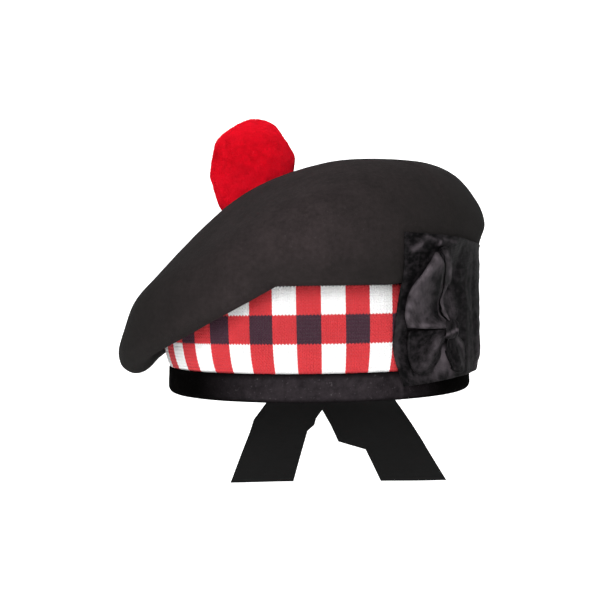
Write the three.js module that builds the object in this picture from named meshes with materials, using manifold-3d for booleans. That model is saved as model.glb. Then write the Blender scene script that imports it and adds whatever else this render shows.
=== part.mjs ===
// A soft wool bonnet with a diced band: flat felted crown that droops to one side, pompom, knitted
// band, bound rim, ribbon cockade and two ribbon tails. Millimetres, +Z up.
// The origin is the middle of the rim opening, in the plane of the rim's lower edge.
// -Y is the front of the bonnet, -X the side to which the crown droops, +X the cockade's side.
import * as THREE from 'three';
import { mergeVertices } from 'three/addons/utils/BufferGeometryUtils.js';
import Module from 'manifold-3d';

const wasm = await Module();
wasm.setup();

// Head and band
const headRadius = 90.4; // inside of the bound rim: a head of about 57 cm
const bindingWall = 1.4; // one leaf of the rim binding
const bindingHeight = 16.2; // outer leaf of the binding
const bindingInnerHeight = 12; // inner leaf of the binding
const bandWall = 2.2; // double knitted band
const diceHeight = 15.9; // one row of dicing
const diceRows = 3;
const bandFlare = 4.5; // how far the band springs out above its binding
const clearance = 0.3; // gap between pieces that touch on the real bonnet
const roundSteps = 48; // facets round the head

// Crown
const wool = 2.5; // thickness of the felted crown
const crownTop = 145; // highest point of the crown above the rim
const crownCentre = 38; // how far the middle of the crown lies to the drooping side
const droopReach = 127.5; // reach of the drooping side from the middle of the head
const droopLow = 10.8; // lowest point of the drooping side above the rim
const frontReach = 120; // reach of the front and of the back
const sideReach = 107; // reach of the side that stands up behind the cockade
const droopSpread = 78; // degrees round the head, each way, over which the crown droops
const sideStart = 108; // degrees from the droop at which the overhang starts to be drawn in
const sideEnd = 150; // degrees from the droop at which the side stands straight

// Pompom
const toorieRadius = 25; // head of the pompom
const toorieRise = 19; // middle of the pompom above the middle of the crown
const toorieLean = 1.5; // how far it leans to the drooping side
const toorieSkirt = 9; // how far its locks spread down the slope
const lockCount = 17;
const lockLength = 10; // half length of a lock
const lockWidth = 12; // half width of a lock
const lockReach = 18; // middle of a lock from the middle of the pompom

// Cockade
const ribbonWall = 1.2; // thickness of the ribbon, as a folded sheet
const cockadeTurn = 45; // degrees from the front to the knot
const cockadeHeight = 39; // knot above the rim
const cockadeStep = 0.8; // air between the layers of the cockade
const knotRadius = 6.5;
const knotStand = 4.6; // half thickness of the knot
const cockadeSpread = 40; // reach of the cockade's backing along the band, to the left of the knot
const cockadeRise = 53; // reach of the backing above the knot
const columnRoll = 2.5; // how far the backing stands off as a soft roll at its right side
const loopLength = 47; // longest loop of the bow, from the knot
const loopSpread = 19.5; // half width of the widest loop at its far end
const loopLift = 1.4; // how far the front of a loop swells

// Ribbon tails
const tailWidth = 43.5;
const tailDrop = 80; // length of the tails below the rim
const tailTop = 12; // where the tails are sewn to the binding, above the rim
const tailSwing = 80; // measure of their sideways spread
const foldDepth = 2.6; // deepest soft fold of the crown

const bandRadius = headRadius + bindingWall + clearance + bandWall;
const bandBottom = bindingWall + clearance;
const bandTop = bindingHeight + diceHeight * diceRows;
const bandTopRadius = bandRadius + bandFlare;
const bindingRadius = bandRadius + clearance + bindingWall;

const woolBlack = new THREE.Color(0x302b2b);
const ribbonBlack = new THREE.Color(0x29262a);

function finish(color, roughness) {
  return new THREE.MeshStandardMaterial({ color, roughness, metalness: 0 });
}

function piece(name, geometry, material) {
  const mesh = new THREE.Mesh(geometry, material);
  mesh.name = name;
  return mesh;
}

const radians = THREE.MathUtils.degToRad;
const mix = THREE.MathUtils.lerp;

function smooth(low, high, value) {
  return THREE.MathUtils.smoothstep(value, low, high);
}

// A closed mesh from a list of points and of faces with three or four corners
function closedGeometry(points, faces) {
  const positions = [];
  for (const point of points) {
    positions.push(point.x, point.y, point.z);
  }
  const indices = [];
  for (const face of faces) {
    for (let corner = 2; corner < face.length; corner += 1) {
      indices.push(face[0], face[corner - 1], face[corner]);
    }
  }
  const geometry = new THREE.BufferGeometry();
  geometry.setAttribute('position', new THREE.Float32BufferAttribute(positions, 3));
  geometry.setIndex(indices);
  if (signedVolume(geometry) < 0) {
    for (let index = 0; index < indices.length; index += 3) {
      [indices[index], indices[index + 1]] = [indices[index + 1], indices[index]];
    }
    geometry.setIndex(indices);
  }
  geometry.computeVertexNormals();
  return geometry;
}

function signedVolume(geometry) {
  const position = geometry.getAttribute('position');
  const index = geometry.getIndex();
  const [a, b, c] = [new THREE.Vector3(), new THREE.Vector3(), new THREE.Vector3()];
  let volume = 0;
  for (let corner = 0; corner < index.count; corner += 3) {
    a.fromBufferAttribute(position, index.getX(corner));
    b.fromBufferAttribute(position, index.getX(corner + 1));
    c.fromBufferAttribute(position, index.getX(corner + 2));
    volume += a.dot(b.cross(c)) / 6;
  }
  return volume;
}

// Rings of equal count joined from one pole to another
function poledGeometry(firstPole, rings, lastPole) {
  const count = rings[0].length;
  const points = [firstPole, ...rings.flat(), lastPole];
  const last = points.length - 1;
  const faces = [];
  const at = (ring, turn) => 1 + ring * count + (turn % count);
  for (let turn = 0; turn < count; turn += 1) {
    faces.push([0, at(0, turn + 1), at(0, turn)]);
    for (let ring = 1; ring < rings.length; ring += 1) {
      faces.push([at(ring - 1, turn), at(ring - 1, turn + 1), at(ring, turn + 1), at(ring, turn)]);
    }
    faces.push([last, at(rings.length - 1, turn), at(rings.length - 1, turn + 1)]);
  }
  return closedGeometry(points, faces);
}

// A sheet given by two grids of points, its top and its underside, closed round its edges
function sheetGeometry(top, bottom) {
  const rows = top.length;
  const columns = top[0].length;
  const points = [...top.flat(), ...bottom.flat()];
  const at = (row, column) => row * columns + column;
  const below = (row, column) => rows * columns + at(row, column);
  const faces = [];
  for (let row = 1; row < rows; row += 1) {
    for (let column = 1; column < columns; column += 1) {
      faces.push([at(row - 1, column - 1), at(row, column - 1), at(row, column), at(row - 1, column)]);
      const under = [[row - 1, column - 1], [row - 1, column], [row, column], [row, column - 1]];
      faces.push(under.map(([line, place]) => below(line, place)));
    }
  }
  for (let row = 1; row < rows; row += 1) {
    const end = columns - 1;
    faces.push([at(row - 1, 0), below(row - 1, 0), below(row, 0), at(row, 0)]);
    faces.push([at(row, end), below(row, end), below(row - 1, end), at(row - 1, end)]);
  }
  for (let column = 1; column < columns; column += 1) {
    const end = rows - 1;
    faces.push([at(0, column), below(0, column), below(0, column - 1), at(0, column - 1)]);
    faces.push([at(end, column - 1), below(end, column - 1), below(end, column), at(end, column)]);
  }
  return closedGeometry(points, faces);
}

function toManifold(geometry) {
  const bare = geometry.clone();
  bare.deleteAttribute('normal');
  bare.deleteAttribute('uv');
  const merged = mergeVertices(bare, 1e-4);
  return new wasm.Manifold(new wasm.Mesh({
    numProp: 3,
    vertProperties: new Float32Array(merged.getAttribute('position').array),
    triVerts: new Uint32Array(merged.getIndex().array),
  }));
}

function fromManifold(solid) {
  const mesh = solid.getMesh();
  const geometry = new THREE.BufferGeometry();
  geometry.setAttribute('position', new THREE.BufferAttribute(new Float32Array(mesh.vertProperties), 3));
  geometry.setIndex(new THREE.BufferAttribute(new Uint32Array(mesh.triVerts), 1));
  geometry.computeVertexNormals();
  return geometry;
}

// Band and binding: closed profiles turned about the head's axis
function turned(profile) {
  const outline = profile.map(([radius, height]) => new THREE.Vector2(radius, height));
  outline.push(outline[0].clone());
  const geometry = new THREE.LatheGeometry(outline, roundSteps);
  geometry.rotateX(Math.PI / 2);
  return geometry;
}

function bandReach(height) {
  const rise = THREE.MathUtils.clamp((height - bindingHeight) / (bandTop - bindingHeight), 0, 1);
  const spring = 5; // the flare comes early, just above the binding
  return bandRadius + bandFlare * (1 - (1 - rise) ** spring);
}

function diceBand() {
  const belly = 0.4; // share of the lowest row of dicing at which the flare is nearly full
  const heights = [bandBottom, bindingHeight, bindingHeight + diceHeight * belly];
  for (let row = 1; row <= diceRows; row += 1) {
    heights.push(bindingHeight + row * diceHeight);
  }
  const outer = heights.map((height) => [bandReach(height), height]);
  const inner = heights.map((height) => [bandReach(height) - bandWall, height]).reverse();
  return turned([...outer, ...inner]);
}

function rimBinding() {
  const corner = bindingWall;
  return turned([
    [bindingRadius, corner],
    [bindingRadius, bindingHeight],
    [bindingRadius - bindingWall, bindingHeight],
    [bindingRadius - bindingWall, bindingWall],
    [headRadius + bindingWall, bindingWall],
    [headRadius + bindingWall, bindingInnerHeight],
    [headRadius, bindingInnerHeight],
    [headRadius, corner],
    [headRadius + corner / 2, 0],
    [bindingRadius - corner / 2, 0],
  ]);
}

// Rows of a table as objects, from the names of its columns
function table(columns, rows) {
  return rows.map((row) => Object.fromEntries(columns.map((column, index) => [column, row[index]])));
}

// Rows of the crown's skin from the mouth to the middle of the top. The Out columns run from the
// band's top edge (0) to the reach of each side (1). The heights are shares of the drop below the
// band (droopDown) or of the rise above it (frontUp, sideUp). tight is how closely the row keeps to
// the droop's and the side's own stretch of the round.
const overhangRows = table(
  ['name', 'droopOut', 'droopDown', 'frontOut', 'frontUp', 'sideOut', 'sideUp', 'tight'],
  [
    ['mouth', 0, 0, 0, 0, 0, 0, 1],
    ['rise', 0, -0.05, 0, 0.017, 0.04, 0.025, 1],
    ['fold', 0.045, -0.075, 0.035, 0.026, 0.09, 0.055, 1],
    ['turn', 0.09, -0.04, 0.12, 0.026, 0.15, 0.09, 1],
    ['tuck', 0.12, 0.23, 0.3, 0.01, 0.24, 0.14, 1],
    ['under', 0.15, 0.53, 0.54, 0, 0.34, 0.195, 1],
    ['lip', 0.23, 0.82, 0.75, 0.004, 0.48, 0.27, 1],
    ['hang', 0.46, 0.97, 0.89, 0.03, 0.63, 0.33, 0.95],
    ['lowest', 0.7, 1, 0.965, 0.075, 0.8, 0.385, 0.85],
    ['edge', 0.93, 0.92, 1, 0.135, 0.95, 0.43, 0.7],
  ],
);
// Above its widest row the skin closes to the middle: the Out columns run from the middle of the
// crown (0) to each side's reach (1), the Fall columns from the crown's top (0) down to the droop's
// lowest point (droopFall) or to the band's top (frontFall, sideFall).
const capRows = table(
  ['name', 'droopOut', 'droopFall', 'frontOut', 'frontFall', 'sideOut', 'sideFall', 'tight'],
  [
    ['brow', 1, 0.9, 0.999, 0.79, 1, 0.53, 0.5],
    ['shoulder', 0.955, 0.803, 0.982, 0.68, 0.989, 0.44, 0.35],
    ['slope', 0.89, 0.695, 0.94, 0.56, 0.955, 0.32, 0.2],
    ['corner', 0.775, 0.597, 0.86, 0.42, 0.885, 0.165, 0.1],
    ['flat', 0.575, 0.44, 0.71, 0.295, 0.775, 0.055, 0],
    ['disc', 0.405, 0.33, 0.53, 0.19, 0.6, 0.02, 0],
    ['inner', 0.246, 0.24, 0.335, 0.155, 0.386, 0.018, 0],
    ['middle', 0.112, 0.178, 0.15, 0.17, 0.179, 0.085, 0],
  ],
);
const apexFall = 0.13; // share of the height from the crown's top down to the droop
// Soft folds of the wool: the middle as a row number and degrees from the droop, the spans in rows
// and degrees, and the swell as a share of the deepest fold
const folds = table(
  ['name', 'row', 'turn', 'rowSpan', 'turnSpan', 'swell'],
  [
    ['crease above the cockade', 11.5, 131, 2.6, 4.5, -1],
    ['ridge before the droop', 11.6, 38, 0.9, 16, 0.92],
    ['valley under the ridge', 10.2, 42, 0.8, 16, -0.69],
    ['swell over the brow', 11.8, 72, 1.3, 15, 0.85],
    ['dip behind the swell', 13.2, 58, 1, 16, -0.62],
    ['rear ridge', 12, -60, 1.2, 16, 0.85],
    ['rear dip', 11, -88, 1, 14, -0.69],
  ],
);
const droopFullness = 0.8; // power of the droop's fall to both sides: lower is fuller
const droopTipShare = 0.1; // share of the droop that only its tip has
const droopTipSpread = 14; // degrees round the head that the tip takes

function droopShare(turn) {
  const broad = Math.max(0, Math.cos(radians((turn * 90) / droopSpread))) ** droopFullness;
  const tip = Math.exp(-((turn / droopTipSpread) ** 2));
  return mix(broad, tip, droopTipShare);
}

function sideShare(turn) {
  return smooth(sideStart, sideEnd, Math.abs(turn));
}

// One row at one turn from the droop, in degrees from -180 to 180, front positive
function rowPoint(row, turn) {
  const cosine = Math.cos(radians(turn));
  const towardDroop = mix((cosine ** 2 + cosine) / 2, droopShare(turn), row.tight);
  const towardSide = mix((cosine ** 2 - cosine) / 2, sideShare(turn), row.tight);
  const towardFront = 1 - towardDroop - towardSide;
  const middle = (row.sideX - row.droopX) / 2;
  const half = (row.sideX + row.droopX) / 2;
  const reach = mix(row.frontY, half, towardDroop + towardSide);
  const height = row.droopZ * towardDroop + row.sideZ * towardSide + row.frontZ * towardFront;
  return new THREE.Vector3(middle - reach * cosine, -reach * Math.sin(radians(turn)), height);
}

function crownRows() {
  const mouthZ = bandTop + clearance;
  const rise = crownTop - mouthZ;
  const overhang = overhangRows.map((row) => ({
    tight: row.tight,
    droopX: mix(bandTopRadius, droopReach, row.droopOut),
    droopZ: mouthZ - (mouthZ - droopLow) * row.droopDown,
    frontY: mix(bandTopRadius, frontReach, row.frontOut),
    frontZ: mouthZ + rise * row.frontUp,
    sideX: mix(bandTopRadius, sideReach, row.sideOut),
    sideZ: mouthZ + rise * row.sideUp,
  }));
  const cap = capRows.map((row) => ({
    tight: row.tight,
    droopX: mix(crownCentre, droopReach, row.droopOut),
    droopZ: crownTop - (crownTop - droopLow) * row.droopFall,
    frontY: frontReach * row.frontOut,
    frontZ: crownTop - rise * row.frontFall,
    sideX: mix(-crownCentre, sideReach, row.sideOut),
    sideZ: crownTop - rise * row.sideFall,
  }));
  return [...overhang, ...cap];
}

const rowsOfCrown = crownRows();
const crownTurns = 56;
const crownSamples = 19; // rings between the mouth and the middle of the top
const seatShare = 0.74; // share of those rings below the ones that the pompom sits on
const apexHeight = crownTop - (crownTop - droopLow) * apexFall;
const apex = new THREE.Vector3(-crownCentre, 0, apexHeight);

function foldSwell(row, turn) {
  let swell = 0;
  for (const fold of folds) {
    const along = (row - fold.row) / fold.rowSpan;
    const round = (turn - fold.turn) / fold.turnSpan;
    swell += foldDepth * fold.swell * Math.exp(-(along ** 2) - round ** 2);
  }
  return swell;
}

// Rings of the crown's outer skin, with the outward direction at each point
function crownSkin() {
  const meridians = [];
  for (let step = 0; step < crownTurns; step += 1) {
    const turn = (360 * step) / crownTurns - 180;
    const stations = rowsOfCrown.map((row) => rowPoint(row, turn));
    meridians.push({ turn, curve: new THREE.CatmullRomCurve3([...stations, apex], false, 'centripetal') });
  }
  const rings = [];
  for (let sample = 0; sample < crownSamples; sample += 1) {
    const share = sample / crownSamples;
    rings.push(meridians.map(({ curve }) => curve.getPoint(share)));
  }
  const directions = rings.map((ring, index) => ring.map((point, step) => {
    if (index === 0) {
      return new THREE.Vector3(point.x, point.y, 0).normalize();
    }
    const next = index + 1 < rings.length ? rings[index + 1][step] : apex;
    const along = next.clone().sub(rings[index - 1][step]);
    const round = ring[(step + 1) % crownTurns].clone().sub(ring[(step + crownTurns - 1) % crownTurns]);
    return round.cross(along).normalize();
  }));
  for (let index = 1; index < rings.length; index += 1) {
    const row = (index / crownSamples) * rowsOfCrown.length;
    rings[index].forEach((point, step) => {
      point.addScaledVector(directions[index][step], foldSwell(row, meridians[step].turn));
    });
  }
  return { rings, directions };
}

const skin = crownSkin();

function offsetRings(distance, from) {
  return skin.rings.slice(from).map((ring, index) => ring.map((point, step) => (
    point.clone().addScaledVector(skin.directions[index + from][step], distance)
  )));
}

function crown() {
  const inner = offsetRings(-wool, 0);
  const innerApex = apex.clone().sub(new THREE.Vector3(0, 0, wool));
  return poledGeometry(innerApex, [...inner.reverse(), ...skin.rings], apex);
}

// The crown's upper skin pushed out by the clearance and closed below: what the pompom sits on
function toorieSeat() {
  const rings = offsetRings(clearance, Math.round(crownSamples * seatShare));
  const floor = apex.clone().setZ(droopLow);
  return poledGeometry(floor, rings, apex.clone().add(new THREE.Vector3(0, 0, clearance)));
}

function toorie() {
  const centre = apex.clone().add(new THREE.Vector3(-toorieLean, 0, toorieRise));
  const slope = new THREE.Vector3(-0.6, 0, -0.8); // down the crown, toward the droop
  const goldenTurn = Math.PI * (3 - Math.sqrt(5));
  const head = new THREE.IcosahedronGeometry(toorieRadius, 2);
  head.translate(centre.x, centre.y, centre.z);
  let solid = toManifold(head);
  for (let lock = 0; lock < lockCount; lock += 1) {
    const height = 1 - (2 * (lock + 0.5)) / lockCount;
    const round = Math.sqrt(1 - height ** 2);
    const turn = lock * goldenTurn;
    const direction = new THREE.Vector3(round * Math.cos(turn), round * Math.sin(turn), height);
    const spread = toorieSkirt * Math.max(0, direction.dot(slope)) ** 3;
    const tuft = new THREE.IcosahedronGeometry(1, 1);
    tuft.scale(lockWidth, lockWidth, lockLength);
    tuft.applyQuaternion(new THREE.Quaternion().setFromUnitVectors(new THREE.Vector3(0, 0, 1), direction));
    const place = centre.clone().addScaledVector(direction, lockReach + spread);
    tuft.translate(place.x, place.y, place.z);
    solid = solid.add(toManifold(tuft));
  }
  return fromManifold(solid.subtract(toManifold(toorieSeat())));
}

// Reach of what the cockade lies on: the band, or the crown where it stands further out. Between the
// two the ribbon is taut and leans no more than a limited slope.
function seatReach(height, turnFromFront) {
  const lean = 0.45;
  let reach = height < bindingHeight ? bindingRadius : bandReach(height);
  reach = Math.max(reach, bandTopRadius);
  for (const row of rowsOfCrown) {
    const point = rowPoint(row, 90 + THREE.MathUtils.radToDeg(turnFromFront));
    const fall = Math.abs(point.z - height) * lean;
    reach = Math.max(reach, Math.hypot(point.x, point.y) - fall);
  }
  return reach;
}

// A point of the cockade: millimetres along the band from the knot, up from the knot, and out
function cockadePoint(across, up, stand) {
  const height = cockadeHeight + up;
  const turn = radians(cockadeTurn) + across / bandTopRadius;
  const reach = seatReach(height, turn) + stand;
  return new THREE.Vector3(reach * Math.sin(turn), -reach * Math.cos(turn), height);
}

const backClearance = clearance + 0.8; // the backing hangs a little off the band
const backStand = backClearance + ribbonWall / 2;
const loopBackStand = backStand + ribbonWall + cockadeStep;
const loopFrontStand = loopBackStand + ribbonWall + 2 * cockadeStep;

// Ribbon that lies behind the bow, row by row upwards, from its left edge to its right edge: along
// as shares of the cockade's spread, Up as shares of its rise
const backRows = table(
  ['name', 'left', 'leftUp', 'right', 'rightUp'],
  [
    ['lower end', -0.79, -0.585, 1.25, -0.5],
    ['lower middle', -0.925, -0.283, 1.375, -0.245],
    ['behind the knot', -0.99, 0.057, 1.4, 0.057],
    ['above the knot', -1.015, 0.358, 1.4, 0.321],
    ['upper middle', -1, 0.623, 1.375, 0.566],
    ['upper end', -0.98, 0.85, 1.325, 0.774],
    ['top fold', -0.963, 1, 1.25, 0.887],
  ],
);
// Shares of the spread and of the rise over which the right side rolls off the band, and over which
// the roll goes down again at both its ends
const rollSpan = { across: [0.45, 1.05], up: [0.75, 1], down: [0.25, 0.6] };

function backRoll(across, up) {
  const aside = smooth(...rollSpan.across, across / cockadeSpread);
  const upper = smooth(...rollSpan.up, up / cockadeRise);
  const lower = smooth(...rollSpan.down, -up / cockadeRise);
  return columnRoll * aside * (1 - upper) * (1 - lower);
}

function cockadeBack() {
  const columns = 9;
  const samples = 13;
  const edges = [['left', 'leftUp'], ['right', 'rightUp']].map(([across, up]) => (
    new THREE.CatmullRomCurve3(backRows.map((row) => (
      new THREE.Vector3(row[across] * cockadeSpread, row[up] * cockadeRise, 0)
    )))
  ));
  const grid = (offset) => {
    const rows = [];
    for (let sample = 0; sample <= samples; sample += 1) {
      const [left, right] = edges.map((edge) => edge.getPoint(sample / samples));
      const points = [];
      for (let column = 0; column <= columns; column += 1) {
        const { x, y } = left.clone().lerp(right, column / columns);
        points.push(cockadePoint(x, y, backStand + backRoll(x, y) + offset));
      }
      rows.push(points);
    }
    return rows;
  };
  return sheetGeometry(grid(ribbonWall / 2), grid(-ribbonWall / 2));
}

// Loops and leaves of the bow: direction from the knot in degrees and how far it curls on the way,
// length as a share of the longest loop, half width at the far end as a share of the widest, how
// many degrees that end is turned from square, and how much its corners are rounded
const loops = table(
  ['name', 'heading', 'curl', 'long', 'wide', 'skew', 'rounding'],
  [
    ['cockade_loop_upper_left', 141, 0, 0.83, 1, 23, 0.08],
    ['cockade_loop_upper_right', 77, 26, 1, 0.3, 0, 0.1],
    ['cockade_leaf_lower_left', 214, 0, 0.63, 0.7, 0, 0.14],
    ['cockade_leaf_lower_right', -58, 0, 0.56, 0.46, 0, 0.14],
  ],
);
const loopStartWidth = 0.6; // half width of a loop where it leaves the knot, as a share of its start

// A loop leaves the knot along the band, turns over at its far end and comes back in front
function ribbonLoop({ heading, curl, long, wide, skew, rounding }) {
  const start = knotRadius + 1;
  const length = long * loopLength;
  const bend = (loopFrontStand - loopBackStand) / 2;
  const path = [];
  const straightSteps = 6;
  const bendSteps = 4;
  for (let step = 0; step < straightSteps; step += 1) {
    const share = step / straightSteps;
    path.push({ out: mix(start, length - bend, share), stand: loopBackStand, aside: [0, -1] });
  }
  for (let step = 0; step <= bendSteps; step += 1) {
    const angle = Math.PI * (step / bendSteps);
    path.push({
      out: length - bend + bend * Math.sin(angle),
      stand: loopBackStand + bend * (1 - Math.cos(angle)),
      aside: [Math.sin(angle), -Math.cos(angle)],
    });
  }
  for (let step = 1; step <= straightSteps; step += 1) {
    const share = step / straightSteps;
    path.push({ out: mix(length - bend, start, share), stand: loopFrontStand, aside: [0, 1] });
  }
  const columns = 8;
  const grid = (offset) => path.map(({ out, stand, aside }) => {
    const points = [];
    const share = (out - start) / (length - start);
    const half = mix(start * loopStartWidth, wide * loopSpread, Math.sin((share * Math.PI) / 2));
    const ahead = radians(heading + curl * share);
    const square = radians(heading + curl * share + 90 + skew * share);
    for (let column = 0; column <= columns; column += 1) {
      const side = (2 * column) / columns - 1;
      const along = (out + offset * aside[0]) * (1 - rounding * share * side ** 4);
      const inFront = stand > loopBackStand;
      const lift = inFront ? loopLift * (1 - side ** 2) * Math.sin(share * Math.PI) : 0;
      const across = along * Math.cos(ahead) + side * half * Math.cos(square);
      const up = along * Math.sin(ahead) + side * half * Math.sin(square);
      points.push(cockadePoint(across, up, stand + offset * aside[1] + lift));
    }
    return points;
  });
  return sheetGeometry(grid(ribbonWall / 2), grid(-ribbonWall / 2));
}

function cockadeKnot() {
  const steps = 14;
  const levels = 6;
  const rings = [];
  const middle = loopBackStand + knotStand - ribbonWall / 2;
  const plump = 0.6; // power that makes the knot boxy
  for (let level = 1; level < levels; level += 1) {
    const angle = Math.PI * (level / levels);
    const ring = [];
    for (let step = 0; step < steps; step += 1) {
      const turn = (2 * Math.PI * step) / steps;
      const reach = knotRadius * Math.sin(angle) ** plump;
      const stand = middle - knotStand * Math.cos(angle);
      ring.push(cockadePoint(reach * Math.cos(turn), reach * Math.sin(turn), stand));
    }
    rings.push(ring);
  }
  const back = cockadePoint(0, 0, middle - knotStand);
  return poledGeometry(back, rings, cockadePoint(0, 0, middle + knotStand));
}

// Tails: rows from the seam on the binding down to the cut end. down is a share of the drop, or of
// the height of the seam where it is negative, middle a share of the sideways spread, wide a share
// of the ribbon's width measured level.
const tailColumns = ['down', 'middle', 'wide'];
const tails = [
  {
    name: 'tail_left',
    layer: 0,
    rows: table(tailColumns, [
      [-1, 0.1, 1.07],
      [0, -0.01, 1.08],
      [0.27, -0.194, 1.08],
      [0.41, -0.3, 1.08],
      [0.47, -0.318, 1.085],
      [0.525, -0.36, 1],
      [0.75, -0.44, 1.045],
      [1, -0.525, 1.09],
    ]),
  },
  {
    name: 'tail_right',
    layer: 1,
    rows: table(tailColumns, [
      [-1, 0.172, 1.357],
      [0, 0.255, 1.36],
      [0.27, 0.39, 1.37],
      [0.48, 0.517, 1.41],
      [0.63, 0.596, 1.457],
      [0.71, 0.746, 1.07],
      [0.85, 0.82, 1.1],
      [1.012, 0.905, 1.14],
    ]),
  },
];
const freeFrom = 0.35; // share of the drop by which a tail has left the round of the binding

function ribbonTail({ layer, rows }) {
  const columns = 8;
  const seat = bindingRadius + clearance + layer * (ribbonWall + clearance);
  const grid = (stand) => rows.map((row) => {
    const height = -row.down * (row.down < 0 ? tailTop : tailDrop);
    const hang = smooth(0, freeFrom, row.down);
    const reach = seat + stand;
    const points = [];
    for (let column = 0; column <= columns; column += 1) {
      const across = row.middle * tailSwing + (column / columns - 0.5) * row.wide * tailWidth;
      const turn = across / reach;
      const round = new THREE.Vector3(reach * Math.sin(turn), reach * Math.cos(turn), height);
      points.push(round.lerp(new THREE.Vector3(across, reach, height), hang));
    }
    return points;
  });
  return sheetGeometry(grid(ribbonWall), grid(0));
}

const bonnet = new THREE.Group();
bonnet.add(piece('crown', crown(), finish(woolBlack, 0.95)));
bonnet.add(piece('toorie', toorie(), finish(new THREE.Color(0xd8202f), 1)));
bonnet.add(piece('dice_band', diceBand(), finish(new THREE.Color(0xdd3d45), 0.9)));
bonnet.add(piece('rim_binding', rimBinding(), finish(new THREE.Color(0x1d1a1c), 0.9)));
bonnet.add(piece('cockade_back', cockadeBack(), finish(ribbonBlack, 0.45)));
for (const loop of loops) {
  bonnet.add(piece(loop.name, ribbonLoop(loop), finish(ribbonBlack, 0.45)));
}
bonnet.add(piece('cockade_knot', cockadeKnot(), finish(ribbonBlack, 0.45)));
for (const tail of tails) {
  bonnet.add(piece(tail.name, ribbonTail(tail), finish(ribbonBlack, 0.6)));
}

export default bonnet;
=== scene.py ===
import math
from functools import partial

import bmesh
import bpy
import numpy as np
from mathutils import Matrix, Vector, noise


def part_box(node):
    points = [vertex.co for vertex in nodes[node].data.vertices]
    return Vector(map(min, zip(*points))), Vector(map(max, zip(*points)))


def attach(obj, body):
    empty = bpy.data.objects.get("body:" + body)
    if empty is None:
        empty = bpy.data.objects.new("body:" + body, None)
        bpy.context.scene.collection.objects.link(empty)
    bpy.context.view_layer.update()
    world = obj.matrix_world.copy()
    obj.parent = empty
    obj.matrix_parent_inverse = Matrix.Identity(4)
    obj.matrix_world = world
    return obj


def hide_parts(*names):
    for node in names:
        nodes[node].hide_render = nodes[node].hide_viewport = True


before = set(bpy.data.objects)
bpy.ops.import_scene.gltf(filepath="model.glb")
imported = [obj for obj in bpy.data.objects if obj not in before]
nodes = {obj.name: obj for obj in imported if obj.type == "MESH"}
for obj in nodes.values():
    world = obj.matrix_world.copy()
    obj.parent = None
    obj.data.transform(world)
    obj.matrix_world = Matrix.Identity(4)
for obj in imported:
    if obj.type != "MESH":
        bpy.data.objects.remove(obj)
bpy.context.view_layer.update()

mm = 0.001
print("frame loaded")

# What the pieces share, read from the frame
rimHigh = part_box("rim_binding")[1]
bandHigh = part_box("dice_band")[1]
headSizes = {
    "bindingRadius": rimHigh[0],
    "bindingTop": rimHigh[2],
    "bandTop": bandHigh[2],
    "bandTopRadius": bandHigh[0],
    "bandFlare": 4.5 * mm,
    "innerRadius": 90.4 * mm,
    "clearance": 0.3 * mm,
}


# Small makers that the pieces share

def mixValues(first, second, share):
    return first + (second - first) * share


def smoothShare(low, high, value):
    share = np.clip((np.asarray(value, dtype=float) - low) / (high - low), 0.0, 1.0)
    return share * share * (3.0 - 2.0 * share)


def makeObject(name, mesh, material):
    piece = bpy.data.objects.new(name, mesh)
    bpy.context.scene.collection.objects.link(piece)
    mesh.materials.clear()
    mesh.materials.append(material)
    for face in mesh.polygons:
        face.use_smooth = True
    return piece


def volumeOf(mesh):
    mesh.calc_loop_triangles()
    points = np.empty(len(mesh.vertices) * 3)
    mesh.vertices.foreach_get("co", points)
    points = points.reshape(-1, 3)
    corners = np.empty(len(mesh.loop_triangles) * 3, dtype=int)
    mesh.loop_triangles.foreach_get("vertices", corners)
    a, b, c = (points[corners[start::3]] for start in range(3))
    return float(np.einsum("ij,ij->i", a, np.cross(b, c)).sum() / 6.0)


def meshFrom(name, points, faces):
    mesh = bpy.data.meshes.new(name)
    mesh.from_pydata([tuple(point) for point in points], [], faces)
    mesh.validate()
    if volumeOf(mesh) < 0:
        mesh.flip_normals()
    return mesh


def unitRows(vectors):
    return vectors / np.maximum(np.linalg.norm(vectors, axis=-1, keepdims=True), 1e-12)


def setPointValues(mesh, name, values):
    attribute = mesh.attributes.new(name, "FLOAT", "POINT")
    attribute.data.foreach_set("value", np.asarray(values, dtype=np.float32))


# Puts a piece in the frame: the solid that it stands for and its body
def finishPiece(piece, node=None):
    if node:
        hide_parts(node)
    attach(piece, "root")
    return piece


# Faces between two rings of points, given where each ring starts
def ringFaces(low, high, count):
    after = [(turn + 1) % count for turn in range(count)]
    return [(low + turn, low + after[turn], high + after[turn], high + turn) for turn in range(count)]


# Rings of equal count joined from one pole to another; each ring is an array of points
def poledMesh(name, firstPole, rings, lastPole):
    count = len(rings[0])
    points = np.vstack([[firstPole], *rings, [lastPole]])
    last = len(points) - 1
    base = last - count
    faces = []
    for turn in range(count):
        after = (turn + 1) % count
        faces.append((0, 1 + after, 1 + turn))
        faces.append((last, base + turn, base + after))
    for ring in range(1, len(rings)):
        faces += ringFaces(1 + (ring - 1) * count, 1 + ring * count, count)
    return meshFrom(name, points, faces)
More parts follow.
